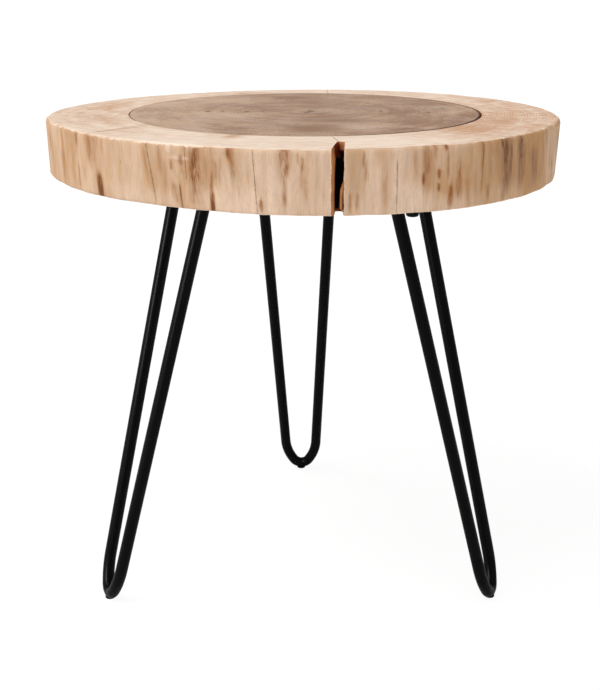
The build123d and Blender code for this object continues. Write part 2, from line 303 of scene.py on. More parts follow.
STAINS = stain_table(
    (196.5, 0.4, 3.4, 0.8, 0.0, 0.3), (203.2, 0.3, 3.8, 0.72, 0.05, 0.4),
    (211.4, 0.1, 1.3, 1.12, 0.66, 0.7), (211.7, 0.1, 1.3, 0.6, -0.1, 0.75),
    (214.6, 0.1, 1.4, 0.5, 0.1, 0.2), (216.6, 1.2, 2.2, 1.15, 0.3, 0.75),
    (218.6, 0.6, 3.6, 1.15, 0.4, 0.5), (222.4, -2.2, 1.6, 1.15, 0.35, 0.5),
    (219.8, 0.2, 2.6, 0.56, -0.2, 0.8), (219.9, 0.1, 1.7, 0.46, -0.12, 2.3),
    (220.1, 0.0, 1.3, 0.3, -0.1, 1.7), (225.8, 0.2, 1.8, 1.1, 0.68, 0.45),
    (229.0, 0.2, 1.2, 0.7, 0.2, 0.2), (234.2, 0.4, 1.2, 0.98, 0.4, 0.5),
    (236.6, 0.6, 2.4, 0.9, 0.1, 0.3), (238.3, 0.2, 1.2, 1.1, 0.4, 0.55),
    (239.4, 0.2, 2.4, 0.8, 0.1, 0.35), (241.2, 0.0, 0.8, 0.76, 0.56, 1.1),
    (241.3, 0.1, 2.2, 1.05, 0.4, 0.3), (243.5, 0.1, 1.4, 0.88, 0.64, 0.8),
    (241.5, 0.3, 1.7, 0.48, -0.02, 0.85), (241.2, 0.0, 0.6, 0.42, 0.2, 0.5),
    (242.9, 0.4, 0.9, 0.5, -0.1, 0.75), (247.3, -0.5, 3.4, 1.25, 0.0, 0.95),
    (247.2, -0.9, 1.8, 1.2, 0.2, 1.5), (246.8, -0.1, 1.0, 0.5, 0.22, 1.0),
    (246.6, 0.3, 3.0, 0.4, 0.0, 0.65), (249.2, 0.2, 1.2, 1.0, 0.2, 0.4),
    (250.9, -0.6, 0.9, 0.7, 0.2, 0.85), (251.9, -0.3, 0.8, 0.86, 0.4, 0.7),
    (252.8, -0.2, 0.8, 0.92, 0.36, 0.8), (251.8, 0.0, 3.4, 1.15, 0.3, 0.35),
    (250.6, 0.0, 1.1, 0.4, -0.14, 1.5), (254.6, 0.1, 1.1, 1.16, 0.72, 1.3),
    (255.2, 0.5, 1.6, 1.1, 0.4, 0.65), (254.9, 0.3, 3.0, 1.15, 0.3, 0.35),
    (258.4, 0.2, 1.4, 1.0, 0.5, 0.3), (259.6, 0.3, 1.0, 1.1, 0.6, 0.3),
    (261.3, 0.1, 0.8, 0.28, 0.0, 0.9), (266.0, 0.2, 2.4, 1.35, 0.3, 1.15),
    (266.2, 0.0, 1.1, 0.85, -0.05, 0.8), (268.8, 0.2, 0.6, 1.0, 0.7, 0.7),
    (269.7, 0.0, 0.7, 0.95, 0.6, 0.9), (269.6, 0.2, 1.6, 0.95, 0.2, 0.5),
    (270.1, 0.2, 1.0, 0.7, 0.1, 0.5), (273.4, 0.2, 2.6, 1.1, 0.1, 0.3),
    (275.0, 0.3, 0.8, 1.05, 0.3, 0.4), (279.1, 0.1, 0.7, 0.42, 0.0, 0.75),
    (280.6, 0.0, 0.8, 0.4, 0.04, 0.7), (281.8, -0.1, 0.6, 1.0, 0.66, 1.1),
    (282.1, 0.2, 0.9, 0.9, 0.4, 0.55), (280.0, 0.2, 3.0, 1.1, 0.2, 0.3),
    (286.0, 0.2, 1.6, 1.0, -0.05, 0.5), (284.4, 0.2, 1.2, 1.15, 0.6, 0.3),
    (292.5, 0.3, 1.2, 1.0, 0.4, 0.45), (294.2, 0.0, 0.7, 0.64, 0.38, 1.25),
    (294.9, 0.3, 2.6, 1.2, 0.1, 0.6), (295.2, 0.4, 1.2, 1.15, 0.4, 0.65),
    (297.0, -0.2, 1.2, 1.15, 0.7, 0.6), (297.6, 0.1, 0.8, 0.68, 0.46, 1.3),
    (297.6, 0.1, 0.7, 0.46, 0.28, 1.1), (299.2, 0.1, 1.0, 1.14, 0.86, 1.4),
    (299.7, 0.1, 0.6, 1.0, 0.4, 0.85), (300.6, -0.5, 1.4, 0.5, -0.1, 0.9),
    (300.3, -0.3, 0.8, 0.36, 0.0, 1.0), (302.2, 0.3, 1.9, 0.9, 0.0, 0.8),
    (302.3, 0.2, 1.0, 0.75, 0.15, 0.9), (304.4, 0.2, 1.2, 0.56, 0.0, 0.5),
    (306.6, 0.2, 2.0, 0.7, 0.0, 0.55), (308.7, -0.2, 1.0, 1.12, 0.4, 0.7),
    (311.0, 0.2, 3.2, 1.1, 0.2, 0.5), (310.4, 0.0, 0.9, 0.42, 0.02, 0.9),
    (314.4, 0.1, 0.8, 1.14, 0.78, 1.2), (316.3, -0.2, 4.0, 1.2, -0.1, 0.95),
    (315.6, -0.2, 1.5, 1.15, 0.35, 0.95), (317.4, 0.2, 1.3, 1.05, 0.2, 1.0),
    (314.9, -0.2, 1.2, 0.5, -0.1, 0.7), (318.8, 0.2, 1.6, 0.7, 0.0, 0.45),
    (321.2, -0.3, 3.0, 1.2, -0.1, 1.1), (321.2, -0.4, 1.5, 1.15, 0.2, 1.6),
    (326.6, 0.6, 4.2, 0.95, -0.1, 0.85), (331.6, 0.2, 1.4, 1.0, 0.0, 0.6),
    (333.6, 0.2, 1.6, 1.15, 0.6, 0.6), (338.2, 0.6, 3.6, 0.9, 0.1, 0.5),
    (344.0, 0.4, 3.0, 1.1, 0.3, 0.5),
)
# Pale places and scratches low on the side, given in the same way.
PALE = stain_table(
    (242.9, 0.8, 3.8, 0.83, 0.75, 1.5), (240.6, 0.1, 0.9, 1.02, 0.84, 1.2),
    (236.0, 0.0, 8.0, 0.4, -0.6, 0.25), (252.0, 0.0, 7.0, 0.5, -0.6, 0.5),
    (258.5, 0.0, 6.0, 0.6, -0.6, 0.45), (264.0, 0.0, 4.0, 0.9, -0.3, 0.25),
    (290.5, 0.0, 9.0, 0.6, -0.6, 0.55), (300.0, 0.0, 8.0, 0.35, -0.5, 0.4),
)
# How tan the side is between its stains, from 0 to 1: direction and value.
# Towards the right, from about 300 degrees, the high values are partly painted shade of the side turned away
# from the key light.
TONES = (
    (185, 0.5), (200, 0.5), (205, 0.5), (212, 0.42), (215, 0.5), (219, 0.7), (223, 0.65), (227, 0.55),
    (231, 0.45), (233, 0.68), (238, 0.65), (241, 0.52), (244, 0.58), (249, 0.7), (252, 0.6),
    (258, 0.35), (261, 0.06), (264, 0.0), (267, 0.15), (271, 0.25), (275, 0.15), (278.5, 0.5),
    (281, 0.52), (283, 0.22), (286, 0.46), (288.5, 0.15), (291, 0.28), (295, 0.6), (300, 0.6),
    (304, 0.7), (308, 0.85), (313, 0.85), (318, 0.95), (325, 1.1), (331, 0.9), (336, 0.6), (345, 0.5),
)
# How tan the top of the ring is: direction and value.
# Partly painted light: the flat top is made paler at the front and darker towards the sides, most at the
# right, as light and sheen fall on it; partly the wood's own tan.
RING_TONES = (
    (0, 0.6), (20, 0.45), (45, 0.28), (70, 0.2), (90, 0.22), (120, 0.25), (150, 0.3), (180, 0.4),
    (200, 0.3), (215, 0.22), (230, 0.16), (245, 0.1), (295, 0.12), (303, 0.2), (312, 0.38), (330, 0.55),
    (345, 0.6),
)
FAR_SIDE_STAINS = 72

# Patches on the top of the ring: direction and width in degrees, from the recess outwards as a
# share of the ring, and how tan.
PATCHES = stain_table(
    (322.0, 0.0, 15.0, 0.7, -0.4, 0.75), (341.0, 0.0, 14.0, 0.6, -0.1, 0.4),
    (28.0, 0.0, 5.0, 0.95, 0.3, 0.4), (196.0, 0.0, 20.0, 0.55, 0.0, 0.3),
    # The narrow patch at 216.2 degrees is painted shade along the check that crosses the ring there.
    (216.2, -2.6, 0.8, 0.95, -0.1, 1.0), (165.0, 0.0, 18.0, 0.7, 0.1, 0.35),
    (249.0, 0.0, 5.0, 0.34, -0.2, 0.7), (110.0, 0.0, 14.0, 0.6, 0.0, 0.35),
)

OUTLINE_STEP = 0.5             # degrees between the directions in which the CAD side is measured
CRACK_WALLS = (277.68, 275.25)  # directions of the crack's right and left wall at the rim
CRACK_END = 28.4               # X in millimetres where the crack closes
HAIRLINE_END = 22.8            # X where the hairline meets the recess
RING = 73.2                    # from the upper arris in to the recess, at the crack
HAIRLINE_FADES = 74.5 * MM     # from the crack's mouth to where the hairline begins to close
HAIRLINE_CLOSED = 77.2 * MM    # and to where it is closed
RECESS_STARTS = 77.5 * MM      # from the crack's mouth to the recess
HAIRLINE_HALF = 0.34           # half the hairline's width, in millimetres
LEFT_WALL = (21.2, 4.1, 5.0)   # X of the left wall at its mouth, its bow, and how soon it bows
LEFT_WALL_TOP = (21.0, 0.128, 0.9)  # the same wall at the top: X, slant, and bend at its end
RIGHT_WALL = (31.2, 0.05)      # X of the right wall at its mouth, and its slant
SPLINTER = 4.4                 # how far the splinter stands out of the right wall
RING_WIDTH = 60 * MM           # from the recess to the rim, about
CRACK_PULL = 22 * MM           # how far from the crack the mesh gives way to it

# A row of the slice's mesh: its zone, how far in towards the recess, how far down, how far in from the
# side's face, and the way that its surface faces.
Row = namedtuple("Row", "zone share drop inset out up")


def row_number(rows, zone, least=0.0):
    """The first row of a zone that reaches at least so far in."""
    return next(i for i, row in enumerate(rows) if row.zone == zone and row.share >= least)


def cad_tree(node):
    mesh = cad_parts[node].data
    return BVHTree.FromPolygons([v.co for v in mesh.vertices], [p.vertices for p in mesh.polygons])


def inlay_seat(inlay):
    """Middle and radius of the inlay disc, and of the recess round it."""
    low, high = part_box("inlay_disc")
    disc = np.array([(low.x + high.x) / 2, (low.y + high.y) / 2])
    recess = disc + np.array([inlay.drift_x, -inlay.drift_y])
    radius = (high.x - low.x) / 2
    return disc, radius, recess, radius + inlay.gap


class LogSide:
    """Natural side of the slice, measured on its CAD node, with its lumps and flutes."""

    def __init__(self, log):
        tree = cad_tree("log_slab")
        self.log = log
        self.turns = np.radians(np.arange(0.0, 360.0, OUTLINE_STEP))
        self.levels = (UNDERSIDE + log.lower_arris + MM, TOP - log.upper_arris - MM)
        middle = math.radians(sum(CRACK_WALLS) / 2)
        sound = np.abs(self.turns - middle) > math.radians(3.0)
        self.reaches = []
        for level in self.levels:
            found = np.array([self.measure(tree, turn, level) for turn in self.turns])
            whole = np.interp(self.turns, self.turns[sound], found[sound], period=2 * np.pi)
            kernel = np.hanning(11) / np.hanning(11).sum()
            self.reaches.append(np.convolve(np.concatenate([whole[-5:], whole, whole[:5]]), kernel, "valid"))
        self.mean = float(np.mean(self.reaches[1]))

    @staticmethod
    def measure(tree, turn, level):
        outwards = Vector((math.cos(turn), math.sin(turn), 0.0))
        hit = tree.ray_cast(outwards + Vector((0.0, 0.0, level)), -outwards)[0]
        return math.hypot(hit.x, hit.y)

    def plain(self, turn, height):
        low, high = (np.interp(turn, self.turns, reach, period=2 * np.pi) for reach in self.reaches)
        return low + (high - low) * (height - self.levels[0]) / (self.levels[1] - self.levels[0])

    def reach(self, turn, height):
        lumps = self.log.lumps * (1.0 + ripple(turn, height, 7, 46, 14.0, 3))
        flutes = self.log.flutes * (1.2 + ripple(turn, height, 60, 230, 25.0, 8))
        return self.plain(turn, height) - np.clip(lumps, 0.0, None) - np.clip(flutes, 0.0, None)


class Crack:
    """The wide drying crack: a slot right through the rim, and a hairline on to the recess."""

    def __init__(self, log, side):
        self.log = log
        self.drops = np.linspace(0.0, THICKNESS, 40)
        turn = math.radians(CRACK_WALLS[0])
        self.fronts = side.plain(turn, TOP - self.drops) * math.sin(turn)
        self.mouth = self.fronts[0]

    def end(self, drop):
        """Y of the crack's inner end."""
        above, below = self.log.crack_above, self.log.crack_below
        return self.mouth + above + (below - above) * drop / THICKNESS

    def wall(self, hand, y, drop):
        """X of the left (-1) or right (+1) wall."""
        front = np.interp(drop, self.drops, self.fronts)
        inset = np.clip((y - front) / MM, -4.0, None)
        share = np.clip((y - front) / (self.end(drop) - front), 0.0, 1.0)
        upper = 1.0 - soft_step(drop, 1.0 * MM, 9 * MM)
        if hand < 0:
            start, bow, soon = LEFT_WALL
            slot = start + bow * (1.0 - np.exp(-np.clip(inset, 0.0, None) / soon))
            start, slant, bend = LEFT_WALL_TOP
            diagonal = start + slant * np.clip(inset, 0.0, None) + bend * share**3
            slot = slot + (diagonal - slot) * upper
        else:
            slot = RIGHT_WALL[0] + RIGHT_WALL[1] * np.clip(inset, 0.0, None)
            splinter = soft_step(drop, 22 * MM, 38 * MM) * (1.0 - soft_step(drop, 47.5 * MM, 49.5 * MM))
            slot = slot - SPLINTER * splinter * soft_step(inset, 2.2, 3.6) * (1.0 - soft_step(inset, 6, 10))
        rough = 0.22 * np.sin(inset * 2.1 + drop * 130 + hand) + 0.16 * np.sin(inset * 0.9 - drop * 240)
        chips = (0.2 * np.sin(drop * 420 + hand * 2) + 0.1 * np.sin(drop * 1300)) * (1.0 - upper)
        slot = slot + (rough * soft_step(inset, 0.0, 3.0) + chips) * hand
        ends = [self.mouth + self.log.crack_above, self.mouth + RECESS_STARTS]
        close = np.interp(y, ends, [CRACK_END, HAIRLINE_END])
        wall = close + (slot - close) * (1.0 - soft_step(share, 0.93, 1.0))
        inner = soft_step(y, self.mouth + HAIRLINE_FADES, self.mouth + HAIRLINE_CLOSED)
        fading = np.clip(1.0 - drop / self.log.hairline_depth, 0.0, 1.0) * (1.0 - inner)
        least = close + hand * HAIRLINE_HALF * np.sqrt(fading) * (1.0 + 0.35 * np.sin(inset * 0.7))
        return (np.minimum(wall, least) if hand < 0 else np.maximum(wall, least)) * MM

    def lit(self, hand, x, y, drop):
        """How much painted shade, and red that is partly painted shade, the wall gets: near the rim and the
        hairline it is plain torn wood.
        """
        front = np.interp(drop, self.drops, self.fronts)
        inset = (y - front) / MM
        behind = soft_step(y, self.end(drop) + 0.5 * MM, self.end(drop) + 3 * MM)
        if hand < 0:
            hollow = inner = soft_step(x, 23.6 * MM, 24.9 * MM)
        else:
            inner = 1.0
            # Painted shade in the groove behind the splinter.
            groove = stretch(inset, 1.6, 2.2, 0.7) * stretch(drop, 27 * MM, 50 * MM, 3 * MM)
            hollow = np.maximum(soft_step(inset, 8.0, 12.0), groove)
        upper = 1.0 - soft_step(drop, 8 * MM, 17 * MM)
        lower = soft_step(drop, 49.5 * MM, 51.0 * MM)
        red = np.maximum(upper, lower) * soft_step(inset, 6.0, 12.0) * inner
        near_end = soft_step(y, self.end(drop) - 6.0 * MM, self.end(drop) - 3.2 * MM)
        slant = 27.0 * MM + 0.45 * drop
        face = near_end * soft_step(x, slant, slant + 1.6 * MM) * (1.0 - soft_step(drop, 5 * MM, 8 * MM))
        hollow = hollow * (1.0 - 0.85 * np.maximum(upper * (1 - soft_step(drop, 8 * MM, 20 * MM)), lower))
        shadow = near_end * soft_step(x, 28.0 * MM, 29.2 * MM) * soft_step(drop, 4 * MM, 7.5 * MM)
        hollow = np.maximum(hollow, shadow * (1.0 - lower))
        return hollow * (1.0 - face) * (1.0 - behind), red * (1.0 - face) * (1.0 - behind)


def slice_rows(log):
    """Rows of the mesh: up the recess, across the top, down the side and in under the slice.

    As many rows lie between the rim and the crack's end on the top as on the underside."""
    closing = (log.crack_above - log.upper_arris) / (RING * MM)
    outer = np.array([0.0, 0.04, 0.09, 0.17, 0.26, 0.36, 0.48, 0.6, 0.73, 0.85, 0.93, 0.975, 1.0]) * closing
    inner = np.linspace(closing, 1.0, 9)[1:]
    rows = [Row("recess", 1.0, log.recess_depth, 0.0, -1.0, 0.0), Row("recess", 1.0, 8 * MM, 0.0, -1.0, 0.0)]
    rows += [Row("recess", 1.0, 0.5 * MM, 0.0, -1.0, 0.0), Row("lip", 1.0, 0.12 * MM, 0.12 * MM, -0.7, 0.7)]
    rows += [Row("top", share, 0.0, 0.0, 0.0, 1.0) for share in np.append(outer[1:], inner)[::-1]]
    for size, start, below in ((log.upper_arris, 0.0, 0.0), (log.lower_arris, 90.0, THICKNESS)):
        for bend in np.radians(np.linspace(start, start + 90.0, 5)):
            drop = below + (size * (1 - math.cos(bend)) if start == 0.0 else size * (-math.cos(bend) - 1))
            rows.append(Row("side", 0.0, drop, size * (1 - math.sin(bend)), math.sin(bend), math.cos(bend)))
    first = next(i for i, row in enumerate(rows) if row.out > 0.999)
    drops = np.linspace(log.upper_arris, THICKNESS - log.lower_arris, 27)[1:-1]
    rows[first + 1 : first + 1] = [Row("side", 0.0, drop, 0.0, 1.0, 0.0) for drop in drops]
    shares = [0.06, 0.14, 0.24, 0.35, 0.47, 0.59, 0.7, 0.8, 0.88, 0.94, 0.98, 1.0, 1.6, 2.8, 4.4, 6.2]
    return rows + [Row("under", share, THICKNESS, 0.0, 0.0, -1.0) for share in shares]


def slice_columns(log, mean):
    """Directions of the mesh's columns, round from the crack's right wall to its left one."""
    start, end = math.radians(CRACK_WALLS[0]), math.radians(CRACK_WALLS[1]) + 2 * np.pi
    turns, turn = [start], start
    while turn < end:
        front = soft_step(-math.sin(turn), -0.15, 0.05)
        turn += (log.back_step + (log.front_step - log.back_step) * front) / mean
        turns.append(turn)
    turns = np.array(turns) + (end - turns[-1]) * (np.array(turns) - start) / (turns[-1] - start)
    guard = 0.42
    centres = {}
    for check in sorted(CHECKS):
        centre = math.radians(check.direction)
        centre += 2 * np.pi if centre < start else 0.0
        centres[check] = centre
        turns = turns[np.abs(turns - centre) > math.radians(guard) * 1.4]
    for centre in centres.values():
        turns = np.append(turns, centre + np.radians([-guard, -guard / 4, 0.0, guard / 4, guard]))
    turns = np.sort(turns)
    return turns, {check: int(np.argmin(np.abs(turns - centre))) for check, centre in centres.items()}


def stretch(values, start, end, fade):
    """1 between start and end, fading out over a little way outside them."""
    return soft_step(values, start - fade, start) * (1.0 - soft_step(values, end, end + fade))


def slice_shell(log, inlay, side, crack, rows, turns, centres):
    """Points of the slice's skin, as rows by columns by XYZ, before its checks are cut."""
    _, _, recess_middle, recess_radius = inlay_seat(inlay)
    meeting = HAIRLINE_END * MM - recess_middle[0]
    hairline_turn = -math.acos(meeting / recess_radius) + 2 * np.pi
    knots = [(turns[0], 0.0, hairline_turn - turns[0]), (turns[0] + 0.12, 0.0, 0.0)]
    knots += [(turns[i], math.radians(c.lean_down), math.radians(c.lean_in)) for c, i in centres.items()]
    knots += [(turns[-1] - 0.12, 0.0, 0.0), (turns[-1], 0.0, hairline_turn + 2 * np.pi - turns[-1])]
    knots = np.array(sorted(knots))
    lean_down = np.interp(turns, knots[:, 0], knots[:, 1])
    inner = turns + np.interp(turns, knots[:, 0], knots[:, 2])
    rim = [recess_middle[0] + recess_radius * np.cos(inner), recess_middle[1] + recess_radius * np.sin(inner)]
    rim = np.stack(rim)

    def at_side(drop, inset):
        turn = turns + lean_down * drop / THICKNESS
        reach = side.reach(turn, TOP - drop) - inset
        return np.stack([reach * np.cos(turn), reach * np.sin(turn)])

    distance = np.minimum(turns - turns[0], turns[-1] - turns) * side.mean
    pull = 1.0 - soft_step(distance, 0.0, CRACK_PULL)
    right = turns < (turns[0] + turns[-1]) / 2
    under_edge = at_side(THICKNESS, log.lower_arris)
    closing_y = float(crack.end(THICKNESS))
    points = np.empty((len(rows), len(turns), 3))
    for index, row in enumerate(rows):
        if row.zone == "recess":
            flat = rim
        elif row.zone == "lip":
            outer = at_side(0.0, log.upper_arris)
            flat = rim + (outer - rim) * row.inset / RING_WIDTH
        elif row.zone == "top":
            outer = at_side(0.0, log.upper_arris)
            flat = outer + (rim - outer) * row.share
        elif row.zone == "side":
            flat = at_side(row.drop, row.inset)
        else:
            flat = under_edge * (1.0 - row.share * (closing_y - under_edge[1][0]) / -under_edge[1][0])
        points[index, :, 0], points[index, :, 1], points[index, :, 2] = flat[0], flat[1], TOP - row.drop
        if row.zone == "recess":
            continue
        for hand, end, half in ((1, 0, right), (-1, -1, ~right)):
            y = points[index, end, 1]
            if row.zone == "under" and row.share >= 1.0:
                aim = float(crack.wall(1, closing_y, THICKNESS)) * y / closing_y
            else:
                aim = float(crack.wall(hand, y, row.drop))
            points[index, half, 0] += (aim - points[index, end, 0]) * pull[half]
    return points


def cut_checks(points, rows, centres):
    """Sinks the middle column of each check, and returns how much painted shade each point gets in its
    groove, from 0 to 1.
    """
    check_shade = np.zeros(points.shape[:2])
    ease = 0.04
    for check, column in centres.items():
        rng = np.random.default_rng(column)
        for index, row in enumerate(rows):
            wander = 0.75 + 0.25 * math.sin(index * 0.9 + rng.uniform(0, 6))
            if row.zone == "side":
                cut = stretch(row.drop / THICKNESS, *check.side, ease)
            elif row.zone in ("top", "lip"):
                cut = stretch(row.share, *check.top, 0.02)
            elif row.zone == "under":
                cut = stretch(1.0, *check.side, ease) * (1.0 - soft_step(row.share, 0.0, 0.35))
            else:
                cut = 0.0
            cut *= wander
            middle = points[index, column].copy()
            across = points[index, column + 1] - points[index, column - 1]
            across /= np.linalg.norm(across)
            half = check.width * MM / 2 * max(cut, 0.12)
            points[index, column - 1] = middle - across * half
            points[index, column + 1] = middle + across * half
            outwards = np.array([middle[0], middle[1], 0.0]) / np.hypot(middle[0], middle[1])
            normal = outwards * row.out + np.array([0.0, 0.0, row.up])
            points[index, column] = middle - normal * check.depth * MM * cut
            check_shade[index, column] = 0.85 * cut
            check_shade[index, [column - 1, column + 1]] = cut * 0.25
    return check_shade


def crack_walls(log, crack, rows, points):
    """Both walls of the crack as grids that share their edges with the skin."""
    angles = [i for i, row in enumerate(rows) if row.zone == "side"]
    upper, lower = angles[2], angles[-3]
    inmost, closed = row_number(rows, "top"), row_number(rows, "under", 1.0)
    across, down = upper - inmost, lower - upper
    bottom = closed - lower
    walls = []
    for hand, end in ((1, 0), (-1, -1)):
        top = points[upper : inmost - 1 : -1, end, 1:]
        foot = points[lower : closed + 1, end, 1:]
        closing = closing_line(log, crack, top[-1], np.linspace(0.0, 1.0, across - bottom + 1)[1:])
        foot = np.concatenate([foot, closing])
        outer = points[upper : lower + 1, end, 1:]
        u = np.linspace(0.0, 1.0, across + 1)[None, :, None]
        v = np.linspace(0.0, 1.0, down + 1)[:, None, None]
        corner = (1 - u) * ((1 - v) * top[0] + v * foot[0]) + u * top[-1]
        plan = (1 - v) * top[None] + v * foot[None] + (1 - u) * outer[:, None] + u * top[-1] - corner
        x = crack.wall(hand, plan[..., 0], TOP - plan[..., 1])
        x[-1, bottom:] = crack.wall(1, plan[-1, bottom:, 0], TOP - plan[-1, bottom:, 1])
        wall = np.concatenate([x[..., None], plan], axis=2)
        wall[0], wall[:, 0] = points[upper : inmost - 1 : -1, end], points[upper : lower + 1, end]
        wall[-1, : bottom + 1] = points[lower : closed + 1, end]
        walls.append(wall)
    walls[1][-1, bottom:] = walls[0][-1, bottom:]
    walls[1][:, -1] = walls[0][:, -1] = points[inmost, 0]
    return walls


def closing_line(log, crack, end, shares):
    """Line in Y and Z on which the crack's walls meet, from the underside up and on to the recess."""
    turn_y = float(crack.end(log.hairline_depth))
    floor_z = TOP - log.hairline_depth
    knots_y = [float(crack.end(THICKNESS)), turn_y, end[0] - 6 * MM, end[0]]
    knots_z = [UNDERSIDE, floor_z, floor_z, end[1]]
    stops = [0.0, 0.5, 0.9, 1.0]
    return np.stack([np.interp(shares, stops, knots_y), np.interp(shares, stops, knots_z)], axis=1)


def far_side_stains():
    """Stains for the side away from the crack, scattered by a fixed seed."""
    rng = np.random.default_rng(21)
    found = []
    for direction in np.linspace(-12.0, 192.0, FAR_SIDE_STAINS):
        high = rng.uniform(0.45, 1.05)
        low = high - rng.uniform(0.45, 1.25)
        place = (direction + rng.uniform(-2, 2), rng.uniform(-0.6, 0.6), rng.uniform(0.5, 1.2) ** 3 + 0.5)
        found.append(Stain(*place, high, low, rng.uniform(0.35, 1.1)))
    return tuple(found)


def stained(turn, share, stains, rounded=True):
    """How stained each point is; a stain is a soft spindle, widest in its middle."""
    depth = np.zeros(np.broadcast(turn, share).shape)
    for number, stain in enumerate(stains):
        along = (stain.high - share) / (stain.high - stain.low)
        wander = stain.width * 0.04 * np.sin(share * 9.0 + number)
        away = (np.degrees(turn) - stain.direction - stain.lean * along - wander + 180.0) % 360.0 - 180.0
        ends = soft_step(along, 0.0, 0.3) * (1.0 - soft_step(along, 0.62, 1.0))
        half = 0.5 * stain.width * (0.55 + 0.45 * ends if rounded else 1.0)
        depth += (stain.depth * np.exp(-((away / half) ** 2)) * ends) ** 3
    return np.cbrt(depth)


def paint(mesh, name, values):
    layer = mesh.attributes.new(name, "FLOAT", "POINT")
    layer.data.foreach_set("value", np.asarray(values, np.float32).ravel())


def paint_slice(mesh, vertices, rows, side, crack, check_shade, walls):
    """Attributes that the slice's finish reads, for its skin first and then for the crack's walls."""
    x, y, z = vertices.T
    turn, height = np.arctan2(y, x), (z - UNDERSIDE) / THICKNESS
    around = np.degrees(turn) % 360.0
    width, skin = check_shade.shape[1], check_shade.size

    def along_rows(values):
        return np.append(np.repeat(values, width), np.zeros(len(x) - skin))

    outwards = np.repeat([row.out if row.zone == "side" else -1.0 for row in rows], width)
    bark = soft_step(outwards + 0.3 * stretch(around[:skin], 279.0, 298.0, 3.0), 0.2, 1.0)
    below = 1.0 - soft_step(1.0 - height[:skin], 0.02, 0.11)
    chipped = 0.5 * stretch(around[:skin], 196.0, 248.0, 8.0) * below
    paint(mesh, "side", np.append(bark * (1.0 - chipped), np.zeros(len(x) - skin)))
    # Painted shade in the checks' grooves.
    paint(mesh, "check", np.append(check_shade, np.zeros(len(x) - skin)))
    paint(mesh, "growth", np.hypot(x, y) / side.plain(turn, TOP) * side.mean)
    paint(mesh, "stain", stained(turn, height, STAINS + far_side_stains()))
    # The side's tone is partly painted shade towards the right.
    tone = np.interp(around, *np.array(TONES).T)
    tone = tone * (1.0 - 0.3 * (1.0 - soft_step(height, 0.1, 0.42)) * soft_step(-np.sin(turn), 0.2, 0.8))
    paint(mesh, "tone", tone - stained(turn, height, PALE))
    paint(mesh, "seat", along_rows([{"recess": 1.0, "lip": 0.6}.get(row.zone, 0.0) for row in rows]))
    ring = along_rows([row.share if row.zone == "top" else 0.0 for row in rows])
    # The ring's tan round the directions is partly painted light.
    tan = np.interp(around, *np.array(RING_TONES).T, period=360.0)
    paint(mesh, "patch", tan + stained(turn, 1.0 - ring, PATCHES, False) * (ring > 0))
    # Where the stains turn greyer and darker at the right: partly painted shade.
    paint(mesh, "weathered", soft_step(around, 303.0, 313.0))
    depths, first = np.zeros((2, len(x))), skin
    for hand, wall in zip((1, -1), walls):
        here = slice(first, first + wall.shape[0] * wall.shape[1])
        depths[:, here] = crack.lit(hand, x[here], y[here], TOP - z[here])
        first = here.stop
    # Painted shade inside the crack, and the red that is partly painted shade.
    for name, values in zip(("hollow", "red"), depths):
        paint(mesh, name, values)


def slice_mesh(log, inlay):
    """Closed mesh of the whole slice: its skin, the crack's two walls, and a fan above and below."""
    side = LogSide(log)
    crack = Crack(log, side)
    rows = slice_rows(log)
    turns, centres = slice_columns(log, side.mean)
    points = slice_shell(log, inlay, side, crack, rows, turns, centres)
    check_shade = cut_checks(points, rows, centres)
    for index, row in enumerate(rows):
        if row.zone == "recess" or (row.zone == "under" and row.share >= 1.0):
            points[index, -1] = points[index, 0]
    first_top = row_number(rows, "top")
    for index in (first_top - 1, first_top):
        points[index, -1] = points[index, 0] = (points[index, -1] + points[index, 0]) / 2
    walls = crack_walls(log, crack, rows, points)
    count, width = len(rows), len(turns)
    faces, start = grid_faces(width, count), count * width
    skin_faces = len(faces)
    for wall, flip in zip(walls, (False, True)):
        grid = grid_faces(wall.shape[1], wall.shape[0], start)
        faces += [face[::-1] for face in grid] if flip else grid
        start += wall.shape[0] * wall.shape[1]
    wall_faces = len(faces) - skin_faces
    last = (count - 1) * width
    faces += [(start, i + 1, i) for i in range(width - 1)]
    faces += [(start + 1, last + i, last + i + 1) for i in range(width - 1)]
    middles = [[*inlay_seat(inlay)[2], TOP - log.recess_depth], [0.0, 0.0, UNDERSIDE]]
    vertices = np.concatenate([points.reshape(-1, 3), *(wall.reshape(-1, 3) for wall in walls), middles])

    mesh = bpy.data.meshes.new("slice")
    mesh.from_pydata(vertices.tolist(), [], faces)
    kinds = np.zeros(len(faces), np.int32)
    kinds[skin_faces : skin_faces + wall_faces] = 1
    mesh.polygons.foreach_set("material_index", kinds)
    paint_slice(mesh, vertices, rows, side, crack, check_shade, walls)
    body = bmesh.new()
    body.from_mesh(mesh)
    bmesh.ops.remove_doubles(body, verts=body.verts, dist=1e-6)
    bmesh.ops.dissolve_degenerate(body, edges=body.edges, dist=1e-7)
    bmesh.ops.recalc_face_normals(body, faces=body.faces)
    body.to_mesh(mesh)
    body.free()
    shade(mesh, 32.0)
    return mesh


# ---------------------------------------------------------------- inlay


MARK_STRETCH = 0.65            # below 1: the drying marks are longer along Y than along X
# Drying marks on the inlay: X, Y and size in millimetres.
INLAY_MARKS = (
    (-92, 15, 3.6), (-78, 18, 3.1), (-54, 13, 3.3), (8, 17, 4.4), (4, 7, 3.4), (76, 16, 3.4), (122, 7, 2.8),
)
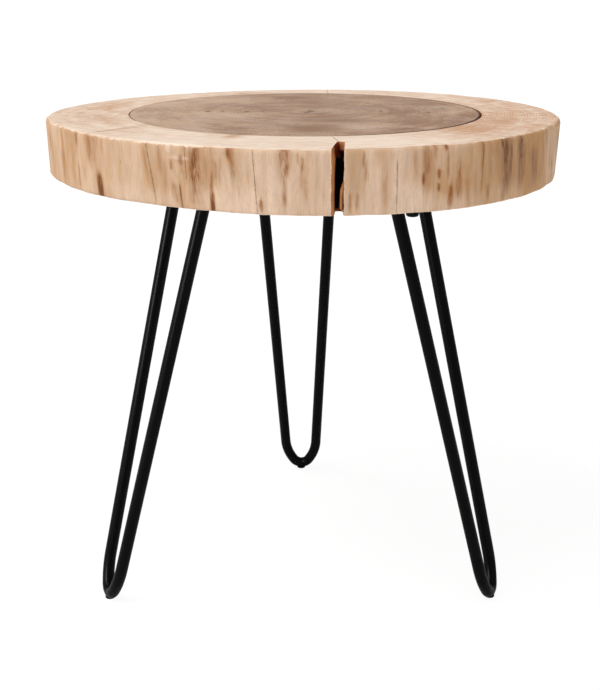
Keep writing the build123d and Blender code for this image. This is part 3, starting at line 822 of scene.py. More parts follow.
# Darker (above nought) and paler patches of the inlay: X, Y, half width, half depth, amount.
INLAY_PATCHES = (
    (-85, 110, 34, 22, -0.2), (-135, 80, 22, 26, -0.2), (-60, -10, 46, 18, -0.1), (55, -100, 24, 16, -0.3),
    (150, 10, 16, 26, -0.15), (-12, 140, 26, 16, 0.2), (118, 78, 30, 14, 0.2), (84, -112, 22, 10, 0.2),
    (0, -105, 20, 20, 0.4), (30, -55, 22, 10, 0.25), (110, -70, 24, 18, 0.25), (-40, 55, 26, 7, 0.2),
    (-52, -105, 24, 8, 0.2), (-100, -40, 26, 8, 0.15), (20, 60, 30, 8, 0.12), (70, 30, 30, 8, 0.12),
)


def inlay_mesh(inlay):
    """Flush disc with a softened upper edge, and its darker and paler patches as an attribute."""
    (x, y), radius, _, _ = inlay_seat(inlay)
    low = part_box("inlay_disc")[0].z
    turns = np.linspace(0.0, 2 * np.pi, 480, endpoint=False)
    wobble = 0.06 * MM * ripple(turns, 0.0, 5, 60, 0.0, 5)
    profile = [(radius * share, TOP) for share in np.linspace(0.03, 0.97, 34)]
    for bend in np.radians(np.linspace(0.0, 90.0, 5)):
        drop = inlay.rounding * (1 - math.cos(bend))
        profile.append((radius - inlay.rounding * (1 - math.sin(bend)), TOP - drop))
    profile += [(radius, TOP - 6 * MM), (radius, low)]
    rings = []
    for reach, height in profile:
        out = reach - np.abs(wobble) * (reach > 0.9 * radius)
        rings.append([(x + r * math.cos(t), y + r * math.sin(t), height) for r, t in zip(out, turns)])
    mesh = turned_mesh("inlay", rings, (x, y, TOP), (x, y, low), True)
    shade(mesh, 40.0)
    place = np.array([v.co for v in mesh.vertices]) / MM
    amount = np.zeros(len(place))
    for patch_x, patch_y, wide, deep, value in INLAY_PATCHES:
        bent = place[:, 1] - patch_y + 0.12 * (place[:, 0] - patch_x) * math.sin(patch_x)
        amount += value * np.exp(-(((place[:, 0] - patch_x) / wide) ** 2) - (bent / deep) ** 2)
    paint(mesh, "patch", amount)
    return mesh


# ---------------------------------------------------------------- node trees


class Nodes:
    """Adds nodes to one tree. Most calls give back the socket that the new node puts out."""

    def __init__(self, tree):
        self.tree = tree

    def feed(self, node, inputs):
        """Gives each named input of a node a value or a link."""
        for key, value in inputs.items():
            if isinstance(value, bpy.types.NodeSocket):
                self.tree.links.new(value, node.inputs[key])
            else:
                node.inputs[key].default_value = value

    def put(self, kind, inputs=None, **settings):
        node = self.tree.nodes.new(kind)
        for name, value in settings.items():
            setattr(node, name, value)
        self.feed(node, inputs or {})
        return node

    def geometry(self, kind, inputs=None, **settings):
        return self.put("GeometryNode" + kind, inputs, **settings).outputs[0]

    def maths(self, operation, *values, clamp=False):
        inputs = dict(enumerate(values))
        return self.put("ShaderNodeMath", inputs, operation=operation, use_clamp=clamp).outputs[0]

    def plus(self, a, b, clamp=False):
        return self.maths("ADD", a, b, clamp=clamp)

    def minus(self, a, b):
        return self.maths("SUBTRACT", a, b)

    def times(self, a, b):
        return self.maths("MULTIPLY", a, b)

    def times_plus(self, a, b, c):
        """a times b, plus c."""
        return self.maths("MULTIPLY_ADD", a, b, c)

    def vectors(self, operation, *values):
        node = self.put("ShaderNodeVectorMath", dict(enumerate(values)), operation=operation)
        return node.outputs["Value" if operation in ("LENGTH", "DISTANCE", "DOT_PRODUCT") else "Vector"]

    def scaled(self, vector, x, y, z):
        return self.vectors("MULTIPLY", vector, (x, y, z))

    def xyz(self, **parts):
        return self.put("ShaderNodeCombineXYZ", parts).outputs[0]

    def parts(self, vector):
        return self.put("ShaderNodeSeparateXYZ", {0: vector}).outputs

    def between(self, value, start, end, low=0.0, high=1.0):
        """Maps start..end smoothly on low..high."""
        inputs = {"Value": value, "From Min": start, "From Max": end, "To Min": low, "To Max": high}
        return self.put("ShaderNodeMapRange", inputs, interpolation_type="SMOOTHSTEP").outputs["Result"]

    def noise(self, vector, scale, detail=2.0, roughness=0.5, distortion=0.0, output="Fac"):
        inputs = {"Vector": vector, "Scale": scale, "Detail": detail}
        inputs |= {"Roughness": roughness, "Distortion": distortion}
        return self.put("ShaderNodeTexNoise", inputs).outputs[output]

    def blend(self, share, a, b):
        return self.put("ShaderNodeMix", {0: share, 6: a, 7: b}, data_type="RGBA").outputs[2]

    def lightened(self, colour, factor):
        """Colour made lighter or darker all over its parts by a factor."""
        return self.put("ShaderNodeVectorMath", {0: colour, "Scale": factor}, operation="SCALE").outputs[0]

    def attribute(self, name):
        return self.put("ShaderNodeAttribute", attribute_name=name).outputs["Fac"]

    def bump(self, height, distance):
        return self.put("ShaderNodeBump", {"Height": height, "Distance": distance}).outputs[0]

    def group(self, name, **inputs):
        named = {label.replace("_", " "): value for label, value in inputs.items()}
        return self.put("ShaderNodeGroup", named, node_tree=bpy.data.node_groups[name]).outputs

    def close(self, **results):
        """Ends a group with what it puts out."""
        self.put("NodeGroupOutput", results)
        return self.tree


def rgba(colour):
    return (*colour, 1.0)


def new_group(name, kind, inputs, outputs):
    """Node group with typed and named sockets; an input is (name, type, default)."""
    tree = bpy.data.node_groups.new(name, kind)
    for label, socket, default in inputs:
        made = tree.interface.new_socket(label, in_out="INPUT", socket_type="NodeSocket" + socket)
        if default is not None:
            made.default_value = default
    for label, socket in outputs.items():
        tree.interface.new_socket(label, in_out="OUTPUT", socket_type="NodeSocket" + socket)
    n = Nodes(tree)
    return n, n.put("NodeGroupInput").outputs


# ---------------------------------------------------------------- finishes


# Fibres of the side: scale, stretch along Z, detail, roughness and distortion of each kind.
FIBRES = {
    "Fibre": (900.0, 0.08, 4.0, 0.65, 0.0),
    "Streak": (85.0, 0.14, 4.0, 0.6, 0.0),
    "Patch": (24.0, 0.45, 3.0, 0.55, 0.4),
    "Mottle": (240.0, 0.4, 4.0, 0.7, 0.0),
}
SWAY = 0.014                   # how far the fibres and the growth rings wander, in metres
STAIN_STEP = (-0.1, 0.85)      # between these the stains come up
UNSTAINED = float(soft_step(0.0, *STAIN_STEP))  # what that step gives where there is no stain


def fibre_group():
    """Upright wood fibres: fine lines, broader streaks, slow patches of colour and fine mottling."""
    inputs = [("Position", "Vector", None)] + [(label, "Float", kind[0]) for label, kind in FIBRES.items()]
    n, given = new_group("Upright fibres", "ShaderNodeTree", inputs, dict.fromkeys(FIBRES, "Float"))
    sway = n.noise(given["Position"], 14.0, output="Color")
    bent = n.vectors("MULTIPLY_ADD", sway, (SWAY, SWAY, 0.0), given["Position"])
    results = {}
    for label, (_, upright, *look) in FIBRES.items():
        results[label] = n.noise(n.scaled(bent, 1.0, 1.0, upright), given[label], *look)
    n.close(**results)


def end_grain_group():
    """Sawn end grain: growth rings, fine rays away from the pith, cloudy patches and sanding marks."""
    inputs = [("Position", "Vector", None), ("Reach", "Float", 0.0), ("Ring width", "Float", 0.0027)]
    outputs = dict.fromkeys(("Rings", "Bands", "Rays", "Cloud", "Drawn"), "Float")
    n, given = new_group("End grain", "ShaderNodeTree", inputs, outputs)
    flat = n.scaled(given["Position"], 1.0, 1.0, 0.0)
    wobble = n.times_plus(n.noise(flat, 7.0, 4.0), SWAY, given["Reach"])
    count = n.maths("DIVIDE", wobble, given["Ring width"])
    rings = n.maths("FRACT", n.times_plus(n.noise(flat, 3.0, 1.0), 5.0, count))
    sharp = n.minus(n.between(rings, 0.45, 0.9), n.between(rings, 0.9, 1.0))
    away = n.vectors("ADD", n.vectors("NORMALIZE", flat), n.xyz(Z=n.times(given["Reach"], 5.0)))
    banded = n.vectors("ADD", n.xyz(X=wobble), n.scaled(flat, 0.1, 0.16, 0.0))
    n.close(
        Rings=sharp,
        Bands=n.noise(banded, 120.0, 4.0, 0.7),
        Rays=n.noise(away, 70.0, 4.0, 0.65),
        Cloud=n.noise(flat, 17.0, 4.0, 0.6, 0.5),
        Drawn=n.noise(n.scaled(flat, 0.3, 1.0, 0.0), 230.0, 4.0, 0.7),
    )


def coat_group():
    """Satin coat on steel: a fine orange-peel surface with slightly rubbed patches."""
    inputs = [("Position", "Vector", None), ("Tint", "Color", (0.01, 0.01, 0.01, 1.0))]
    inputs += [("Peel", "Float", 1500.0)]
    outputs = {"Colour": "Color", "Roughness": "Float", "Height": "Float"}
    n, given = new_group("Satin coat", "ShaderNodeTree", inputs, outputs)
    rubbed = n.noise(given["Position"], 45.0, 3.0, 0.6)
    worn = n.between(rubbed, 0.45, 0.8, 0.0, 0.35)
    n.close(
        Colour=n.blend(worn, given["Tint"], (0.004, 0.004, 0.0043, 1.0)),
        Roughness=n.between(rubbed, 0.3, 0.75, 0.3, 0.38),
        Height=n.noise(given["Position"], given["Peel"]),
    )


def start_material(name):
    material = bpy.data.materials.new(name)
    material.use_nodes = True
    material.node_tree.nodes.clear()
    n = Nodes(material.node_tree)
    surface = n.put("ShaderNodeBsdfPrincipled")
    n.put("ShaderNodeOutputMaterial", {"Surface": surface.outputs[0]})
    return material, n, surface, n.put("ShaderNodeTexCoord").outputs["Object"]


def from_middle(n, place, inlay):
    """Direction and distance of a place from the inlay's middle, and the inlay's radius."""
    (x, y), radius, _, _ = inlay_seat(inlay)
    here = n.vectors("SUBTRACT", n.scaled(place, 1.0, 1.0, 0.0), (x, y, 0.0))
    return n.vectors("NORMALIZE", here), n.vectors("LENGTH", here), radius


def recess_edge(n, place, inlay):
    """Brown band on the ring along the recess's edge, most of all at the right and at the back."""
    aimed, reach, radius = from_middle(n, place, inlay)
    right = n.vectors("DOT_PRODUCT", aimed, (0.94, 0.34, 0.0))
    reach = n.times_plus(n.noise(place, 160.0), -1.6 * MM, reach)
    rim = n.between(reach, radius - 0.2 * MM, radius + 1.0 * MM, 1.0, 0.0)
    return n.times(rim, n.between(right, 0.6, 0.95, 0.15, 0.75))


def inlay_gap_shade(n, place, inlay):
    """Painted shade along the inlay's edge, for its gap and its shaded side: widest at the front right, where
    the gap is, and again at the left.
    """
    aimed, reach, radius = from_middle(n, place, inlay)
    right = n.between(n.vectors("DOT_PRODUCT", aimed, (0.82, -0.57, 0.0)), 0.5, 0.95)
    left = n.between(n.vectors("DOT_PRODUCT", aimed, (-0.985, -0.17, 0.0)), 0.955, 0.985, 0.0, 0.6)
    dark = n.maths("MAXIMUM", right, left)
    edge = n.between(n.times_plus(dark, 1.5 * MM, reach), radius - 0.6 * MM, radius + 0.2 * MM)
    return n.times(edge, n.times_plus(dark, 0.8, 0.15))


def ring_colour(n, log, inlay, place):
    """Sanded end grain of the ring: tan patches, partly painted light, growth rings, rays and the brown band
    at the recess.
    """
    grain = n.group("End grain", Position=place, Reach=n.attribute("growth"))
    cloudy = n.times_plus(grain["Cloud"], 0.5, -0.25)
    drawn = n.times_plus(grain["Drawn"], 1.2, n.times_plus(grain["Bands"], 1.1, -1.15))
    drawn = n.times_plus(grain["Rays"], 0.5, n.minus(drawn, 0.25))
    patch = n.times(n.attribute("patch"), n.between(grain["Drawn"], 0.3, 0.65, 0.5, 1.4))
    tan = n.plus(n.plus(cloudy, drawn), patch, clamp=True)
    lines = n.times(grain["Rings"], n.between(grain["Cloud"], 0.4, 0.65, 0.12, 0.38))
    wood = n.blend(n.plus(tan, lines, clamp=True), rgba(log.sapwood), rgba(log.heartwood))
    wood = n.lightened(wood, n.between(grain["Rays"], 0.25, 0.75, 0.95, 1.03))
    wood = n.blend(n.attribute("seat"), wood, rgba(log.stain))
    return n.blend(recess_edge(n, place, inlay), wood, rgba(log.stain)), grain["Rings"]


def side_colour(n, log, place, fibres):
    """Debarked natural side: its tone, brown streaks and stains, fine flecks and fibres; towards the right
    the tone and the greyer stains are partly painted shade.
    """
    fibre, streak, mottle = fibres["Fibre"], fibres["Streak"], fibres["Mottle"]
    coarse = n.times_plus(fibres["Patch"], 1.2, n.times_plus(streak, 1.2, -1.2))
    uneven = n.plus(coarse, n.times_plus(mottle, 0.8, -0.4))
    tanned = n.times_plus(n.attribute("tone"), 0.9, uneven)
    wood = n.blend(n.between(tanned, -0.3, 1.1), rgba(log.side_pale), rgba(log.side_tan))
    # Greyer stain colour at the right, partly painted shade.
    brown = n.blend(n.attribute("weathered"), rgba(log.stain), rgba(log.weathered))
    feather = n.times_plus(streak, 2.0, n.times_plus(fibre, 1.8, -1.3))
    feather = n.times_plus(mottle, 0.6, n.minus(feather, 0.3))
    soaked = n.times(n.attribute("stain"), n.maths("MAXIMUM", feather, 0.06))
    streaks = n.between(n.times_plus(fibre, 0.5, streak), 0.86, 1.15, 0.0, 0.35)
    share = n.minus(n.between(soaked, *STAIN_STEP), UNSTAINED)
    wood = n.blend(n.maths("MAXIMUM", share, streaks), wood, brown)
    wood = n.blend(n.between(soaked, 0.6, 1.15, 0.0, 0.85), wood, rgba(log.burnt))
    flecks = n.times_plus(streak, 0.4, n.noise(n.scaled(place, 1.0, 1.0, 0.06), 1500.0))
    wood = n.blend(n.between(flecks, 0.86, 0.96, 0.0, 0.5), wood, brown)
    wood = n.lightened(wood, n.between(fibre, 0.3, 0.7, 0.92, 1.05))
    return n.lightened(wood, n.between(mottle, 0.3, 0.7, 0.91, 1.06))


def log_material(log, inlay):
    """End grain above and below, natural side between them, with a ragged line where they meet."""
    material, n, surface, place = start_material("Log wood")
    fibres = n.group("Upright fibres", Position=place)
    torn = n.times_plus(fibres["Mottle"], 0.6, n.minus(n.attribute("side"), 0.3))
    side = n.between(n.times_plus(fibres["Streak"], 0.3, torn), 0.42, 0.72)
    ends, rings = ring_colour(n, log, inlay, place)
    wood = n.blend(side, ends, side_colour(n, log, place, fibres))
    looks = {
        # Painted shade in the checks' grooves.
        "Base Color": n.blend(n.attribute("check"), wood, rgba(log.check)),
        "Roughness": n.between(fibres["Streak"], 0.2, 0.8, 0.55, 0.7),
        "Specular IOR Level": 0.15,
        "Normal": n.bump(n.blend(side, rings, fibres["Fibre"]), 0.15 * MM),
    }
    n.feed(surface, looks)
    return material


def torn_material(log):
    """Rough wood inside the crack, with painted shade that darkens it the deeper it lies."""
    material, n, surface, place = start_material("Torn wood")
    fibres = n.group("Upright fibres", Position=place, Fibre=1400.0, Streak=260.0)
    wood = n.blend(n.between(fibres["Streak"], 0.4, 0.9, 0.0, 0.8), rgba(log.torn), rgba(log.stain))
    # Darker red further into the crack, partly the wood's own colour and partly painted shade.
    wood = n.blend(n.attribute("red"), wood, rgba(log.red))
    # Painted shade of the crack's depth, going to near black.
    dark = n.times_plus(fibres["Fibre"], 0.3, n.minus(n.attribute("hollow"), 0.15))
    looks = {
        "Base Color": n.blend(n.between(dark, 0.1, 0.8), wood, rgba(log.deep)),
        "Roughness": 0.8,
        "Specular IOR Level": 0.15,
        "Normal": n.bump(fibres["Fibre"], 0.5 * MM),
    }
    n.feed(surface, looks)
    return material


def inlay_material(inlay):
    """Grey-brown end grain with soft rays about its own pith, small drying marks, and painted shade along its
    edge.
    """
    material, n, surface, place = start_material("Inlay wood")
    (x, y), _, _, _ = inlay_seat(inlay)
    pith = n.vectors("SUBTRACT", n.scaled(place, 1.0, 1.0, 0.0), (x + 4 * MM, y, 0.0))
    grain = n.group("End grain", Position=pith, Reach=n.vectors("LENGTH", pith), Ring_width=0.0034)
    dark = n.times_plus(grain["Cloud"], 1.1, n.times_plus(n.between(grain["Rays"], 0.3, 0.7), 0.35, -0.9))
    dark = n.times_plus(grain["Drawn"], 0.8, dark)
    dark = n.times_plus(grain["Bands"], 0.9, n.minus(dark, 0.35))
    dark = n.plus(dark, n.between(n.parts(place)["X"], -0.14, 0.0, 0.0, 0.26))
    dark = n.plus(dark, n.attribute("patch"))
    wood = n.blend(n.between(dark, 0.05, 0.95), rgba(inlay.pale), rgba(inlay.dark))
    warm = n.between(n.noise(n.scaled(place, 0.7, 1.0, 0.0), 31.0, 4.0, 0.6, 0.6), 0.42, 0.6, 0.0, 0.8)
    wood = n.blend(warm, wood, n.scaled(wood, 1.02, 0.97, 0.87))
    wood = n.lightened(wood, n.times_plus(grain["Rings"], -0.08, 1.035))
    wood = n.lightened(wood, n.between(grain["Drawn"], 0.3, 0.7, 0.93, 1.06))
    # Painted shade along the inlay's edge and its gap.
    wood = n.blend(inlay_gap_shade(n, place, inlay), wood, rgba(inlay.edge))
    for mark_x, mark_y, size in INLAY_MARKS:
        middle = (mark_x * MM, mark_y * MARK_STRETCH * MM, 0.0)
        away = n.vectors("DISTANCE", n.scaled(place, 1.0, MARK_STRETCH, 0.0), middle)
        ragged = n.times_plus(n.noise(place, 500.0), 4 * MM, away)
        wood = n.blend(n.between(ragged, size * MM, (size + 2.2) * MM, 0.65, 0.0), wood, rgba(inlay.mark))
    looks = {
        "Base Color": wood,
        "Roughness": n.between(grain["Cloud"], 0.3, 0.7, 0.55, 0.65),
        "Specular IOR Level": 0.3,
        "Normal": n.bump(grain["Rays"], 0.06 * MM),
    }
    n.feed(surface, looks)
    return material


def coat_material(name, colour, peel):
    material, n, surface, place = start_material(name)
    coat = n.group("Satin coat", Position=place, Tint=rgba(colour), Peel=peel)
    looks = {"Base Color": coat["Colour"], "Roughness": coat["Roughness"]}
    looks |= {"Specular IOR Level": 0.06, "Normal": n.bump(coat["Height"], 0.02 * MM)}
    n.feed(surface, looks)
    return material


# ---------------------------------------------------------------- legs


def box_middle(node, z):
    """Point over the middle of a CAD node's box, at a height."""
    low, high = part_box(node)
    return Vector(((low.x + high.x) / 2, (low.y + high.y) / 2, z))


def leg_places():
    """For each leg, the middle of its plate's lower face and the turn that points +Y along its splay."""
    return {
        name: (box_middle(f"mounting_plate_{name}", PLATE_FACE), math.radians(heading - 90.0))
        for name, heading in LEGS.items()
    }


def leg_lines(legs):
    """Corners and bends of the bar's centre line in its own plane, and how that plane is tilted.

    The wide bend of each shoulder runs on from a straight run and leads into the foot's tight bend."""
    drop = PLATE_FACE - legs.bar / 2 - legs.disc_base
    tilt = math.atan2(legs.splay, drop)
    leg = math.hypot(legs.splay, drop)
    shoulder, rise = legs.shoulder / 2, legs.shoulder_height - legs.foot
    closing = math.atan2(legs.spread / 2 - shoulder, leg - legs.shoulder_height)
    wide = (shoulder**2 + rise**2 - legs.foot**2) / 2
    wide /= shoulder * math.cos(closing) - rise * math.sin(closing) - legs.foot
    turn = math.asin((wide * math.cos(closing) - shoulder) / (wide - legs.foot))
    lowest = legs.foot - legs.foot / math.cos(turn) - leg
    run = legs.foot * math.tan(turn) + wide * math.tan((math.pi / 2 - turn - closing) / 2)
    return {
        "Foot radius": legs.foot,
        "Shoulder radius": wide * 0.995,
        "Foot corner": lowest,
        "Shoulder X": run * math.cos(turn),
        "Shoulder Z": lowest + run * math.sin(turn),
        "Closing": math.tan(closing),
        "Tilt": tilt,
        "Lean in": math.tan(closing) / math.cos(tilt),
        "Lean out": math.tan(tilt),
    }


def evaluated_mesh(name, tree, inputs, base=None):
    """Plain mesh that a geometry tree makes, with its inputs given by name."""
    host = bpy.data.objects.new(name, base or bpy.data.meshes.new(name))
    bpy.context.scene.collection.objects.link(host)
    modifier = host.modifiers.new("Shape", "NODES")
    modifier.node_group = tree
    sockets = {s.name: s.identifier for s in tree.interface.items_tree if s.in_out == "INPUT"}
    for label, value in inputs.items():
        modifier[sockets[label]] = value
    graph = bpy.context.evaluated_depsgraph_get()
    mesh = bpy.data.meshes.new_from_object(host.evaluated_get(graph))
    mesh.name = name
    bpy.data.objects.remove(host)
    return mesh


def start_shape(name, sizes, number, default):
    """Geometry tree with lengths, one whole number, a plate's place, its turn and a material."""
    inputs = [("Geometry", "Geometry", None), *((label, "Float", 0.0) for label in sizes)]
    inputs += [(number, "Int", default), ("Place", "Vector", None), ("Turn", "Float", 0.0)]
    inputs += [("Material", "Material", None)]
    return new_group(name, "GeometryNodeTree", inputs, {"Geometry": "Geometry"})


def finish_shape(n, geometry, given):
    """Carries what was made about a plate's middle to its place on the table, and ends the tree."""
    inputs = {"Geometry": geometry, "Translation": given["Place"], "Rotation": n.xyz(Z=given["Turn"])}
    real = n.geometry("RealizeInstances", {0: n.geometry("Transform", inputs)})
    return n.close(Geometry=n.geometry("SetMaterial", {"Geometry": real, "Material": given["Material"]}))


def picked(n, number, *values):
    """One of the values, for the numbers from 0 up."""
    total = 0.0
    for i, value in enumerate(values):
        total = n.times_plus(n.maths("COMPARE", number, float(i), 0.1), value, total)
    return total


def hairpin_tree():
    """Round bar with two straight runs, a wide bend at each shoulder and a tight one in the foot."""
    sizes = ("Bar", "Spread", "Foot radius", "Shoulder radius", "Foot corner", "Shoulder X", "Shoulder Z")
    sizes += ("Closing", "Tilt", "Lean in", "Lean out", "Spare")
    n, given = start_shape("Hairpin bar", sizes, "Sides", 32)
    side = n.minus(n.geometry("InputIndex"), 2.0)
    out = n.maths("ABSOLUTE", side)
    end_x = n.times_plus(given["Spare"], given["Closing"], n.times(given["Spread"], 0.5))
    x = n.times(n.maths("SIGN", side), picked(n, out, 0.0, given["Shoulder X"], end_x))
    z = picked(n, out, given["Foot corner"], given["Shoulder Z"], given["Spare"])
    line = n.geometry("MeshLine", {"Count": 5}, mode="OFFSET")
    line = n.geometry("SetPosition", {"Geometry": line, "Position": n.xyz(X=x, Z=z)})
    radius = picked(n, out, given["Foot radius"], given["Shoulder radius"], 0.0)
    bends = {"Curve": n.geometry("MeshToCurve", {0: line}), "Radius": radius}
    bends |= {"Count": 28, "Limit Radius": True}
    bent = n.geometry("FilletCurve", bends, mode="POLY")
    tilted = n.geometry("Transform", {"Geometry": bent, "Rotation": n.xyz(X=given["Tilt"])})
    section = {"Resolution": given["Sides"], "Radius": n.times(given["Bar"], 0.5)}
    ring = n.geometry("CurvePrimitiveCircle", section)
    solid = n.geometry("CurveToMesh", {"Curve": tilted, "Profile Curve": ring, "Fill Caps": True})
    here = n.parts(n.geometry("InputPosition"))
    above = n.maths("MAXIMUM", here["Z"], 0.0)
    inwards = n.times(n.maths("SIGN", here["X"]), given["Lean in"])
    down = n.times(above, -1.0)
    back = n.xyz(X=n.times(down, inwards), Y=n.times(above, given["Lean out"]), Z=down)
    return finish_shape(n, n.geometry("SetPosition", {"Geometry": solid, "Offset": back}), given)


def disc_mesh(legs, place, turn):
    """Small disc on the floor, hollowed so that the bend of the bar sits in it."""
    tilt = leg_lines(legs)["Tilt"]
    radius, edge = legs.disc / 2, 0.3 * MM
    profile = [(radius - edge, 0.0), (radius, edge), (radius, None)]
    profile += [(radius * share, None) for share in (0.97, 0.85, 0.7, 0.5, 0.3, 0.1)]

    def seat(x, y):
        rise = legs.foot - math.sqrt(legs.foot**2 - x * x)
        under = math.sqrt(max((legs.bar / 2) ** 2 - (y + rise * math.sin(tilt)) ** 2, 0.0))
        return min(legs.disc_height, legs.disc_base + legs.bar / 2 + rise * math.cos(tilt) - under)

    rings = [
        [(x, y, seat(x, y) if height is None else height) for x, y in circle(reach, 48)]
        for reach, height in profile
    ]
    mesh = turned_mesh("disc", rings, (0.0, 0.0, 0.0), (0.0, 0.0, legs.disc_base))
    foot = Matrix.Rotation(turn, 4, "Z") @ Vector((0.0, legs.splay, 0.0))
    floor_spot = Vector((place.x + foot.x, place.y + foot.y, 0.0))
    mesh.transform(Matrix.Translation(floor_spot) @ Matrix.Rotation(turn, 4, "Z"))
    shade(mesh, 30.0)
    return mesh


def weld_tree():
    """Rippled bead round each of a leg's two bar ends, in the corner under its plate."""
    sizes = ("Bar", "Spread", "Weld", "Lean in", "Lean out")
    n, given = start_shape("Weld beads", sizes, "Ripples", 26)
    loop = n.geometry("CurvePrimitiveCircle", {"Resolution": 156, "Radius": 1.0})
    along = n.put("GeometryNodeSplineParameter").outputs["Factor"]
    beat = n.maths("FRACT", n.times(along, given["Ripples"]))
    swell = n.between(n.maths("ABSOLUTE", n.minus(beat, 0.55)), 0.0, 0.55, 1.08, 0.86)
    chance = n.put("FunctionNodeRandomValue", {"Min": 0.97, "Max": 1.04, "Seed": 4}, data_type="FLOAT")
    thick = n.times(n.times(n.times(swell, chance.outputs["Value"]), 0.5), given["Weld"])
    section = n.geometry("CurvePrimitiveCircle", {"Resolution": 14, "Radius": 1.0})
    low = n.times(given["Weld"], -0.2)
    grown = n.times_plus(given["Weld"], 0.2, n.times(given["Bar"], 0.5))
    whole = n.put("GeometryNodeJoinGeometry")
    for hand in (-1.0, 1.0):
        edge = n.times(given["Spread"], 0.5 * hand)
        x = n.times_plus(n.times(given["Lean in"], hand), low, edge)
        spot = n.xyz(X=x, Y=n.times(given["Lean out"], n.times(low, -1.0)), Z=low)
        inputs = {"Geometry": loop, "Translation": spot, "Scale": n.xyz(X=grown, Y=grown, Z=1.0)}
        inputs = {"Curve": n.geometry("Transform", inputs), "Profile Curve": section, "Scale": thick}
        n.feed(whole, {0: n.geometry("CurveToMesh", inputs)})
    here = n.parts(n.geometry("InputPosition"))
    down = n.xyz(Z=n.times(n.maths("MAXIMUM", here["Z"], 0.0), -1.0))
    flat = n.geometry("SetPosition", {"Geometry": whole.outputs[0], "Offset": down})
    return finish_shape(n, flat, given)


def plate_outline(plates, edge):
    """Outline of a plate with round corners, drawn in by the softening of its edge."""
    corner = plates.corner - edge
    points = []
    for sign_x, sign_y, start in ((1, 1, 0), (-1, 1, 90), (-1, -1, 180), (1, -1, 270)):
        for bend in np.radians(np.linspace(start, start + 90, 9)):
            x = sign_x * (plates.across / 2 - edge - corner) + corner * math.cos(bend)
            y = sign_y * (plates.along / 2 - edge - corner) + corner * math.sin(bend)
            points.append((x, y))
    return points


def screw_spots(plates):
    along, aside = plates.across / 2 - plates.inset, plates.along / 2 - plates.inset
    return [(0.0, 0.0)] + [(x, y) for x in (-along, along) for y in (-aside, aside)]


def plate_mesh(plates, thickness, place, turn):
    """Steel plate with softened edges and five screw holes."""
    body = bmesh.new()
    soft = plates.edge
    levels = ((0.0, soft), (soft, 0.0), (thickness - soft, 0.0), (thickness, soft))
    outlines = [[plate_outline(plates, edge) for _, edge in levels]]
    for spot in screw_spots(plates):
        outlines.append([circle(plates.hole / 2 + edge, 24, spot) for _, edge in levels])
    rims = ([], [])
    for outline in outlines:
        loops = [[body.verts.new((*p, z)) for p in points] for points, (z, _) in zip(outline, levels)]
        for lower, upper in zip(loops, loops[1:]):
            for i in range(len(lower)):
                after = (i + 1) % len(lower)
                body.faces.new((lower[i], lower[after], upper[after], upper[i]))
        for rim, loop in zip(rims, (loops[0], loops[-1])):
            rim += [body.edges.get((loop[i], loop[(i + 1) % len(loop)])) for i in range(len(loop))]
    for rim in rims:
        bmesh.ops.triangle_fill(body, edges=rim, use_beauty=True)
    bmesh.ops.recalc_face_normals(body, faces=body.faces)
    body.transform(Matrix.Translation(place) @ Matrix.Rotation(turn, 4, "Z"))
    mesh = bpy.data.meshes.new("plate")
    body.to_mesh(mesh)
    body.free()
    shade(mesh, 30.0)
    return mesh


# ---------------------------------------------------------------- screws


def screw_mesh(screws, head, head_height):
    """Pan-head wood screw hanging head down, its shank up along +Z, with a real thread."""
    core, crest = screws.shank * 0.36, screws.shank / 2
    rounding, lip = 0.5 * head_height, 0.2 * MM
    profile = []
    for bend in np.radians(np.linspace(0.0, 90.0, 5)):
        rise = rounding * (1 - math.cos(bend))
        profile.append((head / 2 - rounding * (1 - math.sin(bend)), -head_height + rise))
    profile += [(head / 2, -lip), (head / 2 - lip, 0.0), (crest, 0.0)]
    rings = [[(x, y, z) for x, y in circle(r, 24)] for r, z in profile]
    for height in np.arange(0.4 * MM, screws.reach - 0.6 * MM, screws.pitch / 5):
        taper = float(soft_step(np.array(screws.reach - height), 0.0, 6 * MM)) * 0.85 + 0.15
        threaded = float(soft_step(np.array(height), 5 * MM, 8 * MM))
        ring = []
        for t in np.linspace(0.0, 2 * np.pi, 24, endpoint=False):
            beat = (height / screws.pitch - t / (2 * np.pi)) % 1.0
            ridge = max(0.0, 1.0 - abs(beat - 0.5) * 3.2)
            reach = (core + (crest - core) * (ridge * threaded + (1 - threaded) * 0.6)) * taper
            ring.append((reach * math.cos(t), reach * math.sin(t), height))
        rings.append(ring)
    mesh = turned_mesh("screw", rings, (0.0, 0.0, -head_height), (0.0, 0.0, screws.reach))
    return cut_cross(mesh, screws, head_height)


def cut_cross(mesh, screws, head_height):
    """Cuts the cross recess into a screw's head."""
    cutter = bmesh.new()
    for turn in (0.0, math.pi / 2):
        made = bmesh.ops.create_cube(cutter, size=1.0)["verts"]
        for v in made:
            deep = v.co.z > 0
            v.co.x *= screws.cross * (0.55 if deep else 1.0)
            v.co.y *= screws.cross_width * (0.7 if deep else 1.0)
            v.co.z = -head_height + (screws.cross_depth if deep else -screws.cross_depth)
        bmesh.ops.rotate(cutter, verts=made, matrix=Matrix.Rotation(turn, 3, "Z"))
    cutter_mesh = bpy.data.meshes.new("cross")
    cutter.to_mesh(cutter_mesh)
    cutter.free()
    tool, host = bpy.data.objects.new("cross", cutter_mesh), bpy.data.objects.new("screw", mesh)
    for thing in (tool, host):
        bpy.context.scene.collection.objects.link(thing)
    modifier = host.modifiers.new("Cross", "BOOLEAN")
    modifier.object, modifier.operation, modifier.use_self = tool, "DIFFERENCE", True
    graph = bpy.context.evaluated_depsgraph_get()
    cut = bpy.data.meshes.new_from_object(host.evaluated_get(graph))
    for thing in (tool, host):
        bpy.data.objects.remove(thing)
    shade(cut, 35.0)
    return cut


